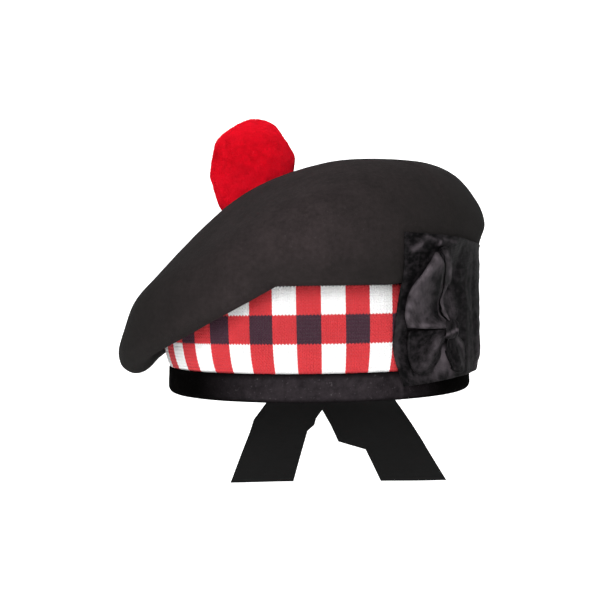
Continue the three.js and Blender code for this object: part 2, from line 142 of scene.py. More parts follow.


# A closed sheet of cloth round a grid of points (rows along it, columns across it), with a UV map
# in metres that runs across and along the cloth, and a tone from 0 (dark) to 1 (light) at each point,
# which on the cockade holds painted highlights and painted shade
def clothMesh(name, grid, wall, tones):
    rows, columns = grid.shape[:2]
    normal = unitRows(np.cross(np.gradient(grid, axis=1), np.gradient(grid, axis=0)))
    points = np.vstack([(grid + normal * side * wall / 2).reshape(-1, 3) for side in (1, -1)])
    half = rows * columns
    number = np.arange(half).reshape(rows, columns)
    corners = (number[:-1, :-1], number[1:, :-1], number[1:, 1:], number[:-1, 1:])
    face = np.stack(corners, axis=-1).reshape(-1, 4)
    rim = np.concatenate([number[0], number[1:, -1], number[-1, -2::-1], number[-2:0:-1, 0]])
    after = np.roll(rim, -1)
    edge = np.stack([rim, after, after + half, rim + half], axis=-1)
    mesh = meshFrom(name, points, np.vstack([face, face[:, ::-1] + half, edge]).tolist())
    steps = np.linalg.norm(np.diff(grid, axis=0), axis=2).mean(axis=1)
    lengths = np.concatenate([[0.0], np.cumsum(steps)])
    width = float(np.linalg.norm(np.diff(grid, axis=1), axis=2).sum(axis=1).max())
    uv = mesh.uv_layers.new(name="cloth")
    for loop in mesh.loops:
        row, column = divmod(loop.vertex_index % half, columns)
        uv.data[loop.index].uv = (width * column / (columns - 1), lengths[row])
    setPointValues(mesh, "tone", np.tile(np.ravel(tones), 2))
    return mesh


# Catmull-Rom with centripetal spacing through rows of points, for all columns at once
def splineRows(rows, perRow):
    rows = np.asarray(rows, dtype=float)
    before = 2 * rows[0] - rows[1]
    after = 2 * rows[-1] - rows[-2]
    padded = np.vstack([before[None], rows, after[None]])
    result = []
    for index in range(1, len(padded) - 2):
        p0, p1, p2, p3 = padded[index - 1:index + 3]
        spacing = []
        for first, second in ((p0, p1), (p1, p2), (p2, p3)):
            gap = np.linalg.norm(second - first, axis=-1, keepdims=True)
            spacing.append(np.sqrt(np.maximum(gap, 1e-7)))
        d0, d1, d2 = spacing
        t1 = ((p1 - p0) / d0 - (p2 - p0) / (d0 + d1) + (p2 - p1) / d1) * d1
        t2 = ((p2 - p1) / d1 - (p3 - p1) / (d1 + d2) + (p3 - p2) / d2) * d1
        count = perRow[index - 1] if hasattr(perRow, "__len__") else perRow
        for step in range(count):
            s = step / count
            cubic = 2 * p1 - 2 * p2 + t1 + t2
            square = -3 * p1 + 3 * p2 - 2 * t1 - t2
            result.append(cubic * s ** 3 + square * s ** 2 + t1 * s + p1)
    result.append(rows[-1])
    return np.array(result)


# Shader building

def newMaterial(name):
    material = bpy.data.materials.new(name)
    material.use_nodes = True
    tree = material.node_tree
    return material, tree, tree.nodes["Principled BSDF"]


def newGroup(name, inputs, outputs):
    tree = bpy.data.node_groups.new(name, "ShaderNodeTree")
    for label, value in inputs.items():
        kind = "NodeSocketVector" if value is None else "NodeSocketFloat"
        socket = tree.interface.new_socket(name=label, in_out="INPUT", socket_type=kind)
        if value is not None:
            socket.default_value = value
    for label in outputs:
        tree.interface.new_socket(name=label, in_out="OUTPUT", socket_type="NodeSocketFloat")
    return tree, tree.nodes.new("NodeGroupInput").outputs, tree.nodes.new("NodeGroupOutput").inputs


# Adds a node; each of its inputs is given a value or another node's output
def addNode(tree, kind, inputs=None, **settings):
    node = tree.nodes.new(kind)
    for key, value in settings.items():
        setattr(node, key, value)
    for label, value in (inputs or {}).items():
        if isinstance(value, bpy.types.NodeSocket):
            tree.links.new(value, node.inputs[label])
        else:
            node.inputs[label].default_value = value
    return node


def mathNode(tree, operation, *values):
    return addNode(tree, "ShaderNodeMath", dict(enumerate(values)), operation=operation).outputs[0]


def mixColors(tree, share, first, second, blend="MIX"):
    inputs = {0: share, 6: first, 7: second}
    return addNode(tree, "ShaderNodeMix", inputs, data_type="RGBA", blend_type=blend).outputs[2]


def vectorFrom(tree, *values):
    return addNode(tree, "ShaderNodeCombineXYZ", dict(enumerate(values))).outputs[0]


def bumpInto(tree, shader, height, strength, distance):
    inputs = {"Strength": strength, "Distance": distance, "Height": height}
    tree.links.new(addNode(tree, "ShaderNodeBump", inputs).outputs["Normal"], shader.inputs["Normal"])


def noiseNode(tree, vector, scale, detail, roughness=0.5):
    inputs = {"Vector": vector, "Scale": scale, "Detail": detail, "Roughness": roughness}
    return addNode(tree, "ShaderNodeTexNoise", inputs).outputs["Fac"]


woolLook = {
    "fibreStretch": (1.0, 1.0, 0.45),
    "clumpScale": 0.28,  # shares of the fibres' scale
    "speckScale": 0.6,
    "speckStart": 0.66,
    "speckGain": 9.0,
    "clumpHeight": 0.8,
    "fibreHeight": 0.6,
}


# Felted wool: short matted fibres, soft mottling and a few pale specks of lint
def makeWoolGroup():
    inputs = {"Vector": None, "Fibre Scale": 1400.0, "Mottle Scale": 90.0, "Lint": 0.5, "Contrast": 1.0}
    tree, given, out = newGroup("woolNap", inputs, ("Mottle", "Specks", "Height"))
    calc = partial(mathNode, tree)
    place = given["Vector"]
    fibreScale = given["Fibre Scale"]
    clumpScale = calc("MULTIPLY", fibreScale, woolLook["clumpScale"])
    speckScale = calc("MULTIPLY", fibreScale, woolLook["speckScale"])
    stretch = {"Vector": place, "Scale": woolLook["fibreStretch"]}
    upright = addNode(tree, "ShaderNodeMapping", stretch).outputs[0]
    fibres = noiseNode(tree, upright, fibreScale, 4.0, 0.65)
    matted = noiseNode(tree, place, given["Mottle Scale"], 5.0, 0.6)
    clumps = noiseNode(tree, place, clumpScale, 3.0, 0.6)
    specks = noiseNode(tree, place, speckScale, 2.0)
    both = calc("MULTIPLY_ADD", clumps, 0.5, calc("MULTIPLY", matted, 0.5))
    away = calc("SUBTRACT", both, 0.5)
    rare = calc("MAXIMUM", calc("SUBTRACT", specks, woolLook["speckStart"]), 0.0)
    bright = calc("MULTIPLY", rare, woolLook["speckGain"])
    tree.links.new(calc("MULTIPLY_ADD", away, given["Contrast"], 0.5), out["Mottle"])
    tree.links.new(calc("MULTIPLY", bright, given["Lint"]), out["Specks"])
    raised = calc("MULTIPLY", clumps, woolLook["clumpHeight"])
    tree.links.new(calc("MULTIPLY_ADD", fibres, woolLook["fibreHeight"], raised), out["Height"])
    return tree


# Woven ribbon: fine cross ribs along the UV, in metres, with a satin's long floats and small slubs
def makeRibbonGroup():
    pitches = {"Rib Pitch": 0.0007, "Warp Pitch": 0.0004}
    inputs = {"Vector": None, **pitches, "Float": 0.5, "Shade": 0.5, "Mottle": 0.3}
    tree, given, out = newGroup("ribbonWeave", inputs, ("Tone", "Height"))
    calc = partial(mathNode, tree)
    split = addNode(tree, "ShaderNodeSeparateXYZ", {0: given["Vector"]}).outputs
    waves = []
    for axis, pitch in (("Y", "Rib Pitch"), ("X", "Warp Pitch")):
        phase = calc("DIVIDE", split[axis], given[pitch])
        waves.append(calc("SINE", calc("MULTIPLY", phase, 2 * math.pi)))
    ribs, warp = waves
    slubs = noiseNode(tree, given["Vector"], 260.0, 4.0, 0.6)
    woven = calc("MULTIPLY_ADD", ribs, 0.5, calc("MULTIPLY", warp, given["Float"]))
    tree.links.new(calc("MULTIPLY_ADD", slubs, 1.2, woven), out["Height"])
    # The tone is the given shade, which on the cockade holds painted highlights and painted shade, mottled
    # by the slubs
    patchy = calc("SUBTRACT", slubs, 0.5)
    tree.links.new(calc("MULTIPLY_ADD", patchy, given["Mottle"], given["Shade"]), out["Tone"])
    return tree


woolGroup = makeWoolGroup()
ribbonGroup = makeRibbonGroup()


def objectPlace(tree):
    return tree.nodes.new("ShaderNodeTexCoord").outputs["Object"]


def attributeNode(tree, name):
    return addNode(tree, "ShaderNodeAttribute", attribute_name=name).outputs["Fac"]


def dressShader(tree, shader, color, height, finish):
    tree.links.new(color, shader.inputs["Base Color"])
    shader.inputs["Roughness"].default_value = finish["roughness"]
    shader.inputs["Specular IOR Level"].default_value = finish["specular"]
    shader.inputs["Sheen Weight"].default_value = finish["sheen"]
    bumpInto(tree, shader, height, finish["bump"], finish["bumpDepth"])


def woolMaterial(name, finish):
    material, tree, shader = newMaterial(name)
    wool = addNode(tree, "ShaderNodeGroup", {
        "Vector": objectPlace(tree),
        "Fibre Scale": finish["fibreScale"],
        "Mottle Scale": finish["mottleScale"],
        "Lint": finish["lintAndPaintedLight"],
        "Contrast": finish["contrast"],
    }, node_tree=woolGroup).outputs
    base = mixColors(tree, wool["Mottle"], finish["dark"], finish["light"])
    color = mixColors(tree, wool["Specks"], base, finish["speck"])
    # Painted light: an attribute on the piece blends its colour toward the painted shading colour, darker on
    # the crown and binding, a lighter red on the toorie
    color = mixColors(tree, attributeNode(tree, "lintAndPaintedLight"), finish["paintedShading"], color)
    shader.inputs["Sheen Roughness"].default_value = 0.6
    dressShader(tree, shader, color, wool["Height"], finish)
    return material


def ribbonMaterial(name, finish):
    material, tree, shader = newMaterial(name)
    weave = addNode(tree, "ShaderNodeGroup", {
        "Vector": addNode(tree, "ShaderNodeUVMap", uv_map="cloth").outputs["UV"],
        "Rib Pitch": finish["ribPitch"],
        "Warp Pitch": finish["warpPitch"],
        "Float": finish["float"],
        "Shade": attributeNode(tree, "tone"),
        "Mottle": finish["mottle"],
    }, node_tree=ribbonGroup).outputs
    color = mixColors(tree, weave["Tone"], finish["dark"], finish["light"])
    dressShader(tree, shader, color, weave["Height"], finish)
    return material


crownFinish = {
    "dark": (0.0130, 0.0104, 0.0106, 1.0),
    "light": (0.0425, 0.0325, 0.0335, 1.0),
    "speck": (0.08, 0.072, 0.070, 1.0),
    "paintedShading": (0.0095, 0.0092, 0.0085, 1.0),  # painted shade: the colour that the crown's sides and the band under its lip are darkened toward
    # Painted shade: lightest across the front middle, darker toward both sides and under the lip
    "paintedLightMiddle": -4 * mm,
    "paintedShadeLeft": 86 * mm,
    "paintedShadeRight": 56 * mm,
    "shadeSparedHeights": (100 * mm, 138 * mm),
    "shadeSparedShare": 0.6,  # share of the painted shade at the right that the top is spared
    "lipShadeShare": 0.45,  # painted shade under the lip, over the dicing: its share
    "lipShadeHeight": 70 * mm,
    "lipShadeSpan": 9 * mm,
    "lipShadeAside": (-46 * mm, -22 * mm),
    "fibreScale": 1500.0,
    "mottleScale": 70.0,
    "lintAndPaintedLight": 0.25,
    "contrast": 1.7,
    "roughness": 1.0,
    "specular": 0.05,
    "sheen": 0.01,
    "bump": 0.55,
    "bumpDepth": 0.0006,
}
bindingFinish = {
    "dark": (0.006, 0.0052, 0.006, 1.0),
    "light": (0.039, 0.032, 0.036, 1.0),
    "speck": (0.12, 0.11, 0.115, 1.0),
    "paintedShading": (0.0012, 0.0010, 0.0010, 1.0),  # painted shade: the near black of the binding's shaded sides
    "fibreScale": 1100.0,
    "mottleScale": 160.0,
    "lintAndPaintedLight": 0.6,
    "contrast": 1.6,
    "roughness": 0.95,
    "specular": 0.01,
    "sheen": 0.0,
    "bump": 0.9,
    "bumpDepth": 0.0009,
}
toorieFinish = {
    "dark": (0.50, 0.0004, 0.0055, 1.0),
    "light": (0.87, 0.0040, 0.0200, 1.0),
    "speck": (1.0, 0.06, 0.09, 1.0),
    "paintedShading": (0.98, 0.0075, 0.0290, 1.0),  # painted light: the lighter red given above and below the middle and toward the right, where the pile is shaded
    # Painted light on the pile: the middle band keeps the base red; above, below and to the right it turns
    # lighter
    "paintedLightMiddle": 148 * mm,
    "paintedLightSpread": 12 * mm,
    "paintedLightRight": (-34 * mm, -6 * mm),
    "paintedLightBase": 0.33,
    "paintedLightMiddleShare": 0.62,
    "fibreScale": 1000.0,
    "mottleScale": 150.0,
    "lintAndPaintedLight": 0.6,
    "contrast": 2.4,
    "roughness": 0.9,
    "specular": 0.02,
    "sheen": 0.02,
    "bump": 0.5,
    "bumpDepth": 0.0008,
}
cockadeFinish = {
    "dark": (0.0020, 0.0019, 0.0021, 1.0),
    "light": (0.090, 0.076, 0.085, 1.0),
    "mottle": 0.7,
    "roughness": 0.55,
    "specular": 0.055,
    "sheen": 0.0,
    "ribPitch": 0.0009,
    "warpPitch": 0.00045,
    "float": 0.35,
    "bump": 0.3,
    "bumpDepth": 0.0002,
}
tailFinish = {
    "dark": (0.0085, 0.0085, 0.0085, 1.0),
    "light": (0.0100, 0.0100, 0.0100, 1.0),
    "mottle": 0.8,
    "roughness": 0.85,
    "specular": 0.08,
    "sheen": 0.0,
    "ribPitch": 0.0012,
    "warpPitch": 0.0005,
    "float": 0.2,
    "bump": 0.3,
    "bumpDepth": 0.0002,
}
crownWool = woolMaterial("crownWool", crownFinish)
bindingWool = woolMaterial("bindingWool", bindingFinish)
toorieWool = woolMaterial("toorieWool", toorieFinish)
cockadeRibbon = ribbonMaterial("cockadeRibbon", cockadeFinish)
tailRibbon = ribbonMaterial("tailRibbon", tailFinish)
print("wool and ribbon finishes ready")


# Crown

crownShape = {
    "wool": 2.5 * mm,
    "top": 145 * mm,
    "centre": 38 * mm,
    "droopReach": 127.5 * mm,
    "droopLow": 10.8 * mm,
    "frontReach": 120 * mm,
    "sideReach": 107 * mm,
    "droopSpread": 78.0,
    "droopFullness": 0.8,
    "droopPoint": 0.1,  # share of the droop that is a narrow point in its middle
    "droopPointSpan": 14.0,
    "sideStart": 108.0,
    "sideEnd": 150.0,
    "apexFall": 0.13,
    "turns": 300,
    "pointsPerRow": 6,
    "innerStep": 3,  # the inner side has one row of points for three of the outer
    "lumpRows": (4.0, 9.0),  # rows over which the unevenness comes in
    "lumps": ((0.9 * mm, 22.0), (0.16 * mm, 120.0)),  # height and scale of the felt's unevenness
}
# Rows from the mouth out to the widest row: shares out and down or up at the droop, front and side
overhangColumns = ("droopOut", "droopDown", "frontOut", "frontUp", "sideOut", "sideUp", "tight")
overhangRows = {
    "mouth": (0, 0, 0, 0, 0, 0, 1),
    "rise": (0, -0.05, 0, 0.017, 0.04, 0.025, 1),
    "fold": (0.045, -0.075, 0.035, 0.026, 0.09, 0.055, 1),
    "turn": (0.09, -0.04, 0.12, 0.026, 0.15, 0.09, 1),
    "tuck": (0.12, 0.23, 0.3, 0.01, 0.24, 0.14, 1),
    "under": (0.15, 0.53, 0.54, 0, 0.34, 0.195, 1),
    "lip": (0.23, 0.82, 0.75, 0.004, 0.48, 0.27, 1),
    "hang": (0.46, 0.97, 0.89, 0.03, 0.63, 0.33, 0.95),
    "lowest": (0.7, 1, 0.965, 0.075, 0.8, 0.385, 0.85),
    "edge": (0.93, 0.92, 1, 0.135, 0.95, 0.43, 0.7),
}
# Rows from the widest row to the middle of the top: shares out from the middle and down from the top
capColumns = ("droopOut", "droopFall", "frontOut", "frontFall", "sideOut", "sideFall", "tight")
capRows = {
    "brow": (1, 0.9, 0.999, 0.79, 1, 0.53, 0.5),
    "shoulder": (0.955, 0.803, 0.982, 0.68, 0.989, 0.44, 0.35),
    "slope": (0.89, 0.695, 0.94, 0.56, 0.955, 0.32, 0.2),
    "corner": (0.775, 0.597, 0.86, 0.42, 0.885, 0.165, 0.1),
    "flat": (0.575, 0.44, 0.71, 0.295, 0.775, 0.055, 0),
    "disc": (0.405, 0.33, 0.53, 0.19, 0.6, 0.02, 0),
    "inner": (0.246, 0.24, 0.335, 0.155, 0.386, 0.018, 0),
    "middle": (0.112, 0.178, 0.15, 0.17, 0.179, 0.085, 0),
}
# Folds: row and turn of the middle, spans in rows and degrees, swell in metres
crownFolds = {
    "creaseAboveCockade": (11.5, 131, 2.6, 4.5, -1.4 * mm),
    "seamAboveCockade": (12.0, 134.5, 2.4, 1.1, -1.5 * mm),
    "ridgeBeforeDroop": (11.6, 38, 0.9, 16, 2.39 * mm),
    "valleyUnderRidge": (10.2, 42, 0.8, 16, -1.8 * mm),
    "swellOverBrow": (11.8, 72, 1.3, 15, 2.2 * mm),
    "dipBehindSwell": (13.2, 58, 1, 16, -1.6 * mm),
    "rearRidge": (12, -60, 1.2, 16, 2.2 * mm),
    "rearDip": (11, -88, 1, 14, -1.8 * mm),
}


def crownRowSizes():
    shape = crownShape
    mouth = headSizes["bandTop"] + headSizes["clearance"]
    band = headSizes["bandTopRadius"]
    rise = shape["top"] - mouth
    rows = []
    for values in overhangRows.values():
        row = dict(zip(overhangColumns, values))
        rows.append({
            "tight": row["tight"],
            "droopX": mixValues(band, shape["droopReach"], row["droopOut"]),
            "droopZ": mouth - (mouth - shape["droopLow"]) * row["droopDown"],
            "frontY": mixValues(band, shape["frontReach"], row["frontOut"]),
            "frontZ": mouth + rise * row["frontUp"],
            "sideX": mixValues(band, shape["sideReach"], row["sideOut"]),
            "sideZ": mouth + rise * row["sideUp"],
        })
    for values in capRows.values():
        row = dict(zip(capColumns, values))
        rows.append({
            "tight": row["tight"],
            "droopX": mixValues(shape["centre"], shape["droopReach"], row["droopOut"]),
            "droopZ": shape["top"] - (shape["top"] - shape["droopLow"]) * row["droopFall"],
            "frontY": shape["frontReach"] * row["frontOut"],
            "frontZ": shape["top"] - rise * row["frontFall"],
            "sideX": mixValues(-shape["centre"], shape["sideReach"], row["sideOut"]),
            "sideZ": shape["top"] - rise * row["sideFall"],
        })
    return rows


def crownRowPoints(row, turns):
    shape = crownShape
    angle = np.radians(turns)
    cosine = np.cos(angle)
    droopAngle = np.radians(turns * 90.0 / shape["droopSpread"])
    within = np.abs(turns) < shape["droopSpread"]
    broad = np.where(within, np.maximum(np.cos(droopAngle), 0.0), 0.0) ** shape["droopFullness"]
    point = np.exp(-(turns / shape["droopPointSpan"]) ** 2)
    droop = mixValues(broad, point, shape["droopPoint"])
    side = smoothShare(shape["sideStart"], shape["sideEnd"], np.abs(turns))
    towardDroop = mixValues((cosine ** 2 + cosine) / 2, droop, row["tight"])
    towardSide = mixValues((cosine ** 2 - cosine) / 2, side, row["tight"])
    towardFront = 1 - towardDroop - towardSide
    middle = (row["sideX"] - row["droopX"]) / 2
    half = (row["sideX"] + row["droopX"]) / 2
    reach = mixValues(row["frontY"], half, towardDroop + towardSide)
    height = row["droopZ"] * towardDroop + row["sideZ"] * towardSide + row["frontZ"] * towardFront
    return np.stack([middle - reach * cosine, -reach * np.sin(angle), height], axis=1)


def crownSkin():
    shape = crownShape
    turns = np.arange(shape["turns"]) * 360.0 / shape["turns"] - 180.0
    apexZ = shape["top"] - (shape["top"] - shape["droopLow"]) * shape["apexFall"]
    apex = np.array([-shape["centre"], 0.0, apexZ])
    rows = [crownRowPoints(row, turns) for row in crownRowSizes()]
    rows.append(np.repeat(apex[None], len(turns), axis=0))
    perRow = shape["pointsPerRow"]
    grid = splineRows(rows, perRow)[:-1]
    across = np.roll(grid, -1, axis=1) - np.roll(grid, 1, axis=1)
    direction = unitRows(np.cross(across, np.gradient(grid, axis=0)))
    direction[0] = grid[0] * (1, 1, 0) / np.linalg.norm(grid[0, :, :2], axis=1, keepdims=True)
    if direction[-1, 0, 2] < 0:
        direction[1:] *= -1
    rowIndex = np.arange(len(grid)) / perRow
    swell = np.zeros(grid.shape[:2])
    for row, turn, rowSpan, turnSpan, height in crownFolds.values():
        down = ((rowIndex - row) / rowSpan)[:, None]
        aside = ((turns - turn) / turnSpan)[None]
        swell += height * np.exp(-down ** 2 - aside ** 2)
    ease = smoothShare(*shape["lumpRows"], rowIndex)
    for index in range(len(grid)):
        for step in range(len(turns)):
            place = Vector(grid[index, step])
            lumps = sum(height * noise.noise(place * scale) for height, scale in shape["lumps"])
            swell[index, step] += lumps * ease[index]
    return grid + direction * swell[:, :, None], direction, apex


def makeCrown():
    finish = crownFinish
    grid, direction, apex = crownSkin()
    wool = crownShape["wool"]
    inner = (grid - direction * wool)[::crownShape["innerStep"]]
    innerApex = apex - (0, 0, wool)
    mesh = poledMesh("crownShell", innerApex, list(inner[::-1]) + list(grid), apex)
    points = np.array([point.co for point in mesh.vertices])
    # Painted shade: darker toward the left and right, less so near the top, and darker under the lip just
    # over the dicing
    aside = points[:, 0] - finish["paintedLightMiddle"]
    shadeSpared = finish["shadeSparedShare"] * smoothShare(*finish["shadeSparedHeights"], points[:, 2])
    left = np.exp(-(aside / finish["paintedShadeLeft"]) ** 2)
    right = np.exp(-np.maximum(aside, 0.0) / finish["paintedShadeRight"] * (1 - shadeSpared))
    lip = (points[:, 2] - finish["lipShadeHeight"]) / finish["lipShadeSpan"]
    lipShade = finish["lipShadeShare"] * smoothShare(*finish["lipShadeAside"], aside) * np.exp(-lip ** 2)
    setPointValues(mesh, "lintAndPaintedLight", np.where(aside < 0, left, right) * (1 - lipShade))
    return finishPiece(makeObject("crownShell", mesh, crownWool), "crown")


makeCrown()
print("crown ready")


# Diced band: a knitted ring, and its stitches in front of it

diceShape = {
    "pairs": 23,
    "whiteStitches": 7,
    "redStitches": 7,
    "rowsOfStitches": 8,
    "dicingRows": 3,
    "whiteStart": -62.55,
    "raise": 0.55 * mm,
    "stand": 0.25 * mm,
    "legThickness": 0.62 * mm,
    "legFlat": 0.62,
    "legLength": 1.45,
    "legSides": 5,
    "legRings": ((0.22, 0.86), (0.5, 1.0), (0.78, 0.86)),  # share of its length, share of its thickness
    "legAside": (0.06, 0.46),  # low and high end, as shares of the stitch's width
    "legOut": (0.12 * mm, -0.1 * mm),
    "flarePower": 5.0,
    "mottle": (0.3, 0.85),
}
diceColors = {
    "white": (0.90, 0.90, 0.90, 1.0),
    "red": (0.63, 0.043, 0.052, 1.0),
    "black": (0.057, 0.023, 0.038, 1.0),
}
diceWool = {"Fibre Scale": 2600.0, "Mottle Scale": 260.0, "Contrast": 1.0}
diceFinish = {"roughness": 0.9, "specular": 0.15, "sheen": 0.1, "bump": 0.5, "bumpDepth": 0.0003}
diceWobble = {"Min": -0.06, "Max": 0.06, "Seed": 5}  # each stitch's own lean, in radians


def diceMaterial(name, fromStitches):
    material, tree, shader = newMaterial(name)
    calc = partial(mathNode, tree)
    place = objectPlace(tree)
    if fromStitches:
        tone = attributeNode(tree, "dice")
    else:
        split = addNode(tree, "ShaderNodeSeparateXYZ", {0: place}).outputs
        toward = calc("MULTIPLY", split["Y"], -1.0)
        angle = calc("ARCTAN2", split["X"], toward)
        pairAngle = 2 * math.pi / diceShape["pairs"]
        pairsBefore = 8  # keeps the count of pairs above zero all round
        startTurn = math.radians(diceShape["whiteStart"]) - pairsBefore * pairAngle
        pairs = calc("DIVIDE", calc("SUBTRACT", angle, startTurn), pairAngle)
        share = diceShape["whiteStitches"] / (diceShape["whiteStitches"] + diceShape["redStitches"])
        column = calc("GREATER_THAN", calc("FRACT", pairs), share)
        pitch = (headSizes["bandTop"] - headSizes["bindingTop"]) / diceShape["dicingRows"]
        raised = calc("SUBTRACT", split["Z"], headSizes["bindingTop"] + diceShape["raise"])
        level = calc("DIVIDE", raised, pitch)
        above = calc("GREATER_THAN", level, 1.0)
        below = calc("LESS_THAN", level, 2.0)
        tone = calc("MULTIPLY_ADD", above, below, column)
    isRed = calc("GREATER_THAN", tone, 0.5)
    isBlack = calc("GREATER_THAN", tone, 1.5)
    inputs = {"Vector": place, **diceWool}
    wool = addNode(tree, "ShaderNodeGroup", inputs, node_tree=woolGroup).outputs
    flat = mixColors(tree, isRed, diceColors["white"], diceColors["red"])
    flat = mixColors(tree, isBlack, flat, diceColors["black"])
    shade = calc("MULTIPLY_ADD", wool["Mottle"], *diceShape["mottle"])
    gray = addNode(tree, "ShaderNodeCombineColor", {0: shade, 1: shade, 2: shade}).outputs[0]
    dressShader(tree, shader, mixColors(tree, 1.0, flat, gray, "MULTIPLY"), wool["Height"], diceFinish)
    return material


# One grain-shaped leg of a stitch, from low to high
def legMesh(low, high):
    shape = diceShape
    axis = (high - low).normalized()
    across = axis.cross(Vector((0, 1, 0))).normalized()
    out = axis.cross(across)
    rings = []
    for share, plump in shape["legRings"]:
        middle = low.lerp(high, share)
        thick = shape["legThickness"] * plump
        wide = thick * shape["legFlat"]
        ring = []
        for side in range(shape["legSides"]):
            turn = 2 * math.pi * side / shape["legSides"]
            ring.append(middle + across * math.cos(turn) * wide + out * math.sin(turn) * thick)
        rings.append(np.array(ring))
    return poledMesh("leg", tuple(low), rings, tuple(high))


def stitchMesh(width, height):
    mesh = bpy.data.meshes.new("stitch")
    builder = bmesh.new()
    reach = diceShape["legLength"] * height
    lowAside, highAside = diceShape["legAside"]
    lowOut, highOut = diceShape["legOut"]
    for side in (-1, 1):
        low = Vector((lowAside * width * side, lowOut, -reach * 0.5))
        high = Vector((highAside * width * side, highOut, reach * 0.5))
        leg = legMesh(low, high)
        builder.from_mesh(leg)
        bpy.data.meshes.remove(leg)
    builder.to_mesh(mesh)
    builder.free()
    return mesh


def geometryTree(name, inputs):
    tree = bpy.data.node_groups.new(name, "GeometryNodeTree")
    tree.interface.new_socket(name="Geometry", in_out="INPUT", socket_type="NodeSocketGeometry")
    identifiers = {}
    for kind, labels in inputs.items():
        for label in labels:
            socket = tree.interface.new_socket(name=label, in_out="INPUT", socket_type="NodeSocket" + kind)
            identifiers[label] = socket.identifier
    tree.interface.new_socket(name="Geometry", in_out="OUTPUT", socket_type="NodeSocketGeometry")
    return tree, identifiers, tree.nodes.new("NodeGroupInput").outputs


def finishTree(tree, geometry, material):
    real = addNode(tree, "GeometryNodeRealizeInstances", {0: geometry}).outputs[0]
    painted = addNode(tree, "GeometryNodeSetMaterial", {"Geometry": real, "Material": material}).outputs[0]
    addNode(tree, "NodeGroupOutput", {0: painted})


# Runs a tree on a base mesh and returns the result as a plain mesh object
def runTree(name, baseMesh, tree, identifiers, values, material):
    carrier = bpy.data.objects.new(name + "Carrier", baseMesh)
    bpy.context.scene.collection.objects.link(carrier)
    modifier = carrier.modifiers.new("nodes", "NODES")
    modifier.node_group = tree
    for label, value in values.items():
        modifier[identifiers[label]] = value
    graph = bpy.context.evaluated_depsgraph_get()
    graph.update()
    mesh = bpy.data.meshes.new_from_object(carrier.evaluated_get(graph), depsgraph=graph)
    mesh.name = name
    bpy.data.objects.remove(carrier)
    return makeObject(name, mesh, material)


def knitTree():
    tree, identifiers, given = geometryTree("knitStitches", {
        "Object": ("Stitch",),
        "Int": ("Columns", "Pair", "White", "Rows", "First Row"),
        "Float": ("Start Turn", "Bottom", "Pitch", "Total Height", "Radius", "Flare", "Middle"),
        "Material": ("Material",),
    })
    calc = partial(mathNode, tree)
    count = calc("MULTIPLY", given["Columns"], given["Rows"])
    line = addNode(tree, "GeometryNodePoints", {"Count": count}).outputs[0]
    index = tree.nodes.new("GeometryNodeInputIndex").outputs[0]
    column = calc("MODULO", index, given["Columns"])
    rows = calc("DIVIDE", calc("ADD", index, 0.5), given["Columns"])
    row = calc("ADD", calc("FLOOR", rows), given["First Row"])
    perTurn = calc("DIVIDE", 2 * math.pi, given["Columns"])
    turn = calc("MULTIPLY_ADD", calc("ADD", column, 0.5), perTurn, given["Start Turn"])
    height = calc("MULTIPLY_ADD", calc("ADD", row, 0.5), given["Pitch"], given["Bottom"])
    share = calc("DIVIDE", calc("SUBTRACT", height, given["Bottom"]), given["Total Height"])
    rest = calc("SUBTRACT", 1.0, share)
    sprung = calc("SUBTRACT", 1.0, calc("POWER", rest, diceShape["flarePower"]))
    reach = calc("MULTIPLY_ADD", sprung, given["Flare"], given["Radius"])
    x = calc("MULTIPLY", reach, calc("SINE", turn))
    away = calc("MULTIPLY", reach, calc("COSINE", turn))
    place = vectorFrom(tree, x, calc("MULTIPLY", away, -1.0), height)
    moved = addNode(tree, "GeometryNodeSetPosition", {"Geometry": line, "Position": place}).outputs[0]
    inPair = calc("ADD", calc("MODULO", column, given["Pair"]), 0.5)
    isRed = calc("GREATER_THAN", inPair, given["White"])
    marks = {"Geometry": moved, "Name": "dice", "Value": calc("ADD", isRed, given["Middle"])}
    marked = addNode(tree, "GeometryNodeStoreNamedAttribute", marks, data_type="FLOAT", domain="POINT")
    wobble = addNode(tree, "FunctionNodeRandomValue", diceWobble, data_type="FLOAT").outputs[1]
    stitch = addNode(tree, "GeometryNodeObjectInfo", {"Object": given["Stitch"]}, transform_space="ORIGINAL")
    copies = addNode(tree, "GeometryNodeInstanceOnPoints", {
        "Points": marked.outputs[0],
        "Instance": stitch.outputs["Geometry"],
        "Rotation": vectorFrom(tree, 0.0, wobble, turn),
    })
    finishTree(tree, copies.outputs[0], given["Material"])
    return tree, identifiers


